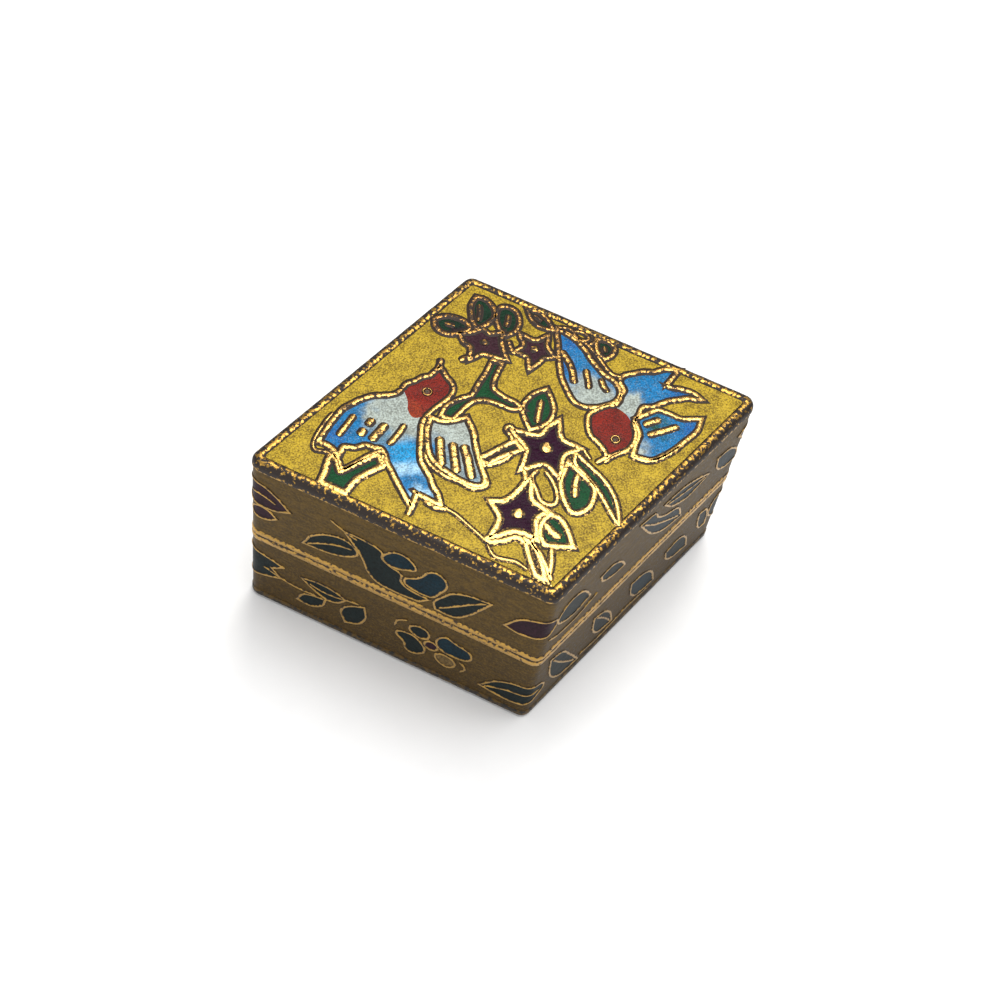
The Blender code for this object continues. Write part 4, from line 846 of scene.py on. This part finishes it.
underside = bmesh.new()
slab(underside, on_plan, plan(UNDERSIDE_INSET), UNDERSIDE[0] + 0.02, UNDERSIDE_STEP, LINING, [], UNDERSIDE[1])
shade(new_piece("base_underside", underside, LOOKS["lining_enamel"], "base", "lining_enamel",
                "base_bottom_enamel"))

# ---- the lid's top ----------------------------------------------------------------------------
TOP_FLANK = 0.2        # width of the dark flank on each side of a ridge
GROUND_INSET = 1.1
EYE_RING_WIDTH = 0.12
EYE_RING_FLANK = 0.06
EYE_RING_STEPS = 16
ground = bmesh.new()
turned = [Matrix.Rotation(HALF_ACUTE, 2) @ p for p in plan(GROUND_INSET)[::2]]
slab(ground, on_top, turned, GROUND_LEVEL, GROUND_STEP, MUSTARD, [])
shade(new_piece("lid_top_ground", ground, LOOKS["ochre_enamel"], "lid", "ochre_enamel",
                "lid_top_ground_enamel"))

ridges = bmesh.new()
for name, (finish, colour, outline, width, bare, tints) in TOP_CELLS.items():
    whole = smooth(outline, True)
    cell = bmesh.new()
    slab(cell, on_top, whole if not is_clockwise(whole) else whole[::-1], CELL_LEVEL, CELL_STEP, colour, tints)
    shade(new_piece(f"lid_{name}", cell, LOOKS[finish], "lid", finish, f"lid_{name}_enamel"))
    edge_path = smooth(outline[:-bare], False) if bare else whole
    outwards = -1 if is_clockwise(whole) else 1
    middle_line = shift(edge_path, outwards * width / 2, not bare)
    strip(ridges, on_top, middle_line, width, not bare, RIDGE_FOOT, TOP_FLANK)
for width, points in TOP_WIRES:
    strip(ridges, on_top, smooth(points, False), width, False, RIDGE_FOOT, TOP_FLANK)
for (u, v), radius in EYE_RINGS:
    circle = [Vector((u + radius * math.cos(a), v + radius * math.sin(a)))
              for a in (2 * math.pi * k / EYE_RING_STEPS for k in range(EYE_RING_STEPS))]
    strip(ridges, on_top, circle, EYE_RING_WIDTH, True, RIDGE_FOOT, EYE_RING_FLANK)
shade(new_piece("lid_top_wirework", ridges, LOOKS["ridge"], "lid", "gilt_brass", "lid_top_plate"), 60)

# ---- the sides ----------------------------------------------------------------------------------
SIDE_FLANK = 0.05
SIDE_ROWS = 12
SIDE_BACK = 0.5        # inset of the side enamel's hidden back
LEVELS = {"base": (FOOT_TOP, MOUTH_LOW), "lid": (LID_MOUTH_TOP, TOP_RIM_LOW)}
for half, (low, high) in LEVELS.items():
    face = [(-SIDE_GROUND_LEVEL, low + (high - low) * k / SIDE_ROWS, 0.0) for k in range(SIDE_ROWS + 1)]
    profile = face + [(SIDE_BACK, high, 0.0), (SIDE_BACK, low, 0.0)]
    shade(new_piece(f"{half}_side_ground", swept(profile, True, 0.03), LOOKS["brown_enamel"], half,
                    "brown_enamel", f"{half}_side_ground_enamel"))
    wires = bmesh.new()
    for index, (place_name, lid_cells, base_cells) in enumerate(PANELS):
        place = on_side(index)
        for name, (colour, outline) in (lid_cells if half == "lid" else base_cells).items():
            path = smooth(outline, True)
            path = path[::-1] if is_clockwise(path) else path
            nodes = [] if name[0] == "+" else [f"{half}_{place_name}_{name}_enamel"]
            cell = bmesh.new()
            slab(cell, place, path, SIDE_CELL_LEVEL, CELL_STEP, colour, [])
            shade(new_piece(f"{half}_{place_name}_{name.strip('+')}", cell, LOOKS["teal_enamel"], half,
                            "teal_enamel", *nodes))
            strip(wires, place, shift(path, SIDE_WIRE / 2, True), SIDE_WIRE, True, SIDE_WIRE_FOOT, SIDE_FLANK)
        for stem_side, stem_half, points in SIDE_STEMS:
            if (stem_side, stem_half) == (index, half):
                strip(wires, place, smooth(points, False), SIDE_WIRE * 0.9, False, SIDE_WIRE_FOOT, SIDE_FLANK)
    shade(new_piece(f"{half}_side_wirework", wires, LOOKS["wire"], half, "gilt_brass",
                    f"{half}_side_band"), 60)

# ---- floor, light and camera (metres and watts) ------------------------------------------------
FLOOR_HALF = 0.8
FLOOR_DROP = 0.0002    # the floor lies this far below the foot
WORLD_STRENGTH = 0.34
floor_mesh = bpy.data.meshes.new("floor")
floor_bm = bmesh.new()
bmesh.ops.create_grid(floor_bm, x_segments=2, y_segments=2, size=FLOOR_HALF)
floor_bm.to_mesh(floor_mesh)
floor_bm.free()
floor = bpy.data.objects.new("floor", floor_mesh)
floor.location.z = -FLOOR_DROP
bpy.context.scene.collection.objects.link(floor)
paper = Look("studio_paper", 0.9)
paper.set(Base_Color=paper.mix(paper.span(paper.grain(4.0), 0.3, 0.7), (0.93, 0.93, 0.93), (0.95, 0.95, 0.95)))
floor_mesh.materials.append(paper.material)

world = bpy.data.worlds.new("studio")
world.use_nodes = True
world.node_tree.nodes["Background"].inputs["Color"].default_value = (1.0, 1.0, 1.0, 1.0)
world.node_tree.nodes["Background"].inputs["Strength"].default_value = WORLD_STRENGTH
bpy.context.scene.world = world
bpy.context.scene.view_settings.view_transform = "Standard"


def softbox(name, place, aim, size, power, colour=(1.0, 1.0, 1.0)):
    """A rectangular area light that faces a point."""
    light = bpy.data.lights.new(name, "AREA")
    light.shape = "RECTANGLE"
    light.size, light.size_y = size
    light.energy = power
    light.color = colour
    lamp = bpy.data.objects.new(name, light)
    lamp.location = place
    lamp.rotation_euler = (Vector(aim) - Vector(place)).to_track_quat("-Z", "Y").to_euler()
    bpy.context.scene.collection.objects.link(lamp)


softbox("overhead", (0.1, 0.05, 0.7), (0.0, 0.0, 0.0), (0.5, 0.5), 4.4)
softbox("glare", (0.085, 0.20, 0.42), (0.0, -0.01, 0.02), (0.16, 0.08), 0.5, (1.0, 0.97, 0.9))
softbox("front_fill", (-0.35, -0.35, 0.25), (0.0, 0.0, 0.01), (0.3, 0.3), 0.9)

CAMERA_PLACE = (-0.0378, -0.0948, 0.1656)
CAMERA_HEADING, CAMERA_DROP, CAMERA_ROLL = (math.radians(a) for a in (68.04, 56.49, 11.59))
lens = bpy.data.cameras.new("camera")
lens.lens = 65.72
lens.sensor_width = 36.0
lens.clip_start = 0.01
camera = bpy.data.objects.new("camera", lens)
camera.matrix_world = (
    Matrix.Translation(CAMERA_PLACE)
    @ Matrix.Rotation(CAMERA_HEADING - math.pi / 2, 4, "Z")
    @ Matrix.Rotation(math.pi / 2 - CAMERA_DROP, 4, "X")
    @ Matrix.Rotation(CAMERA_ROLL, 4, "Z")
)
bpy.context.scene.collection.objects.link(camera)
bpy.context.scene.camera = camera
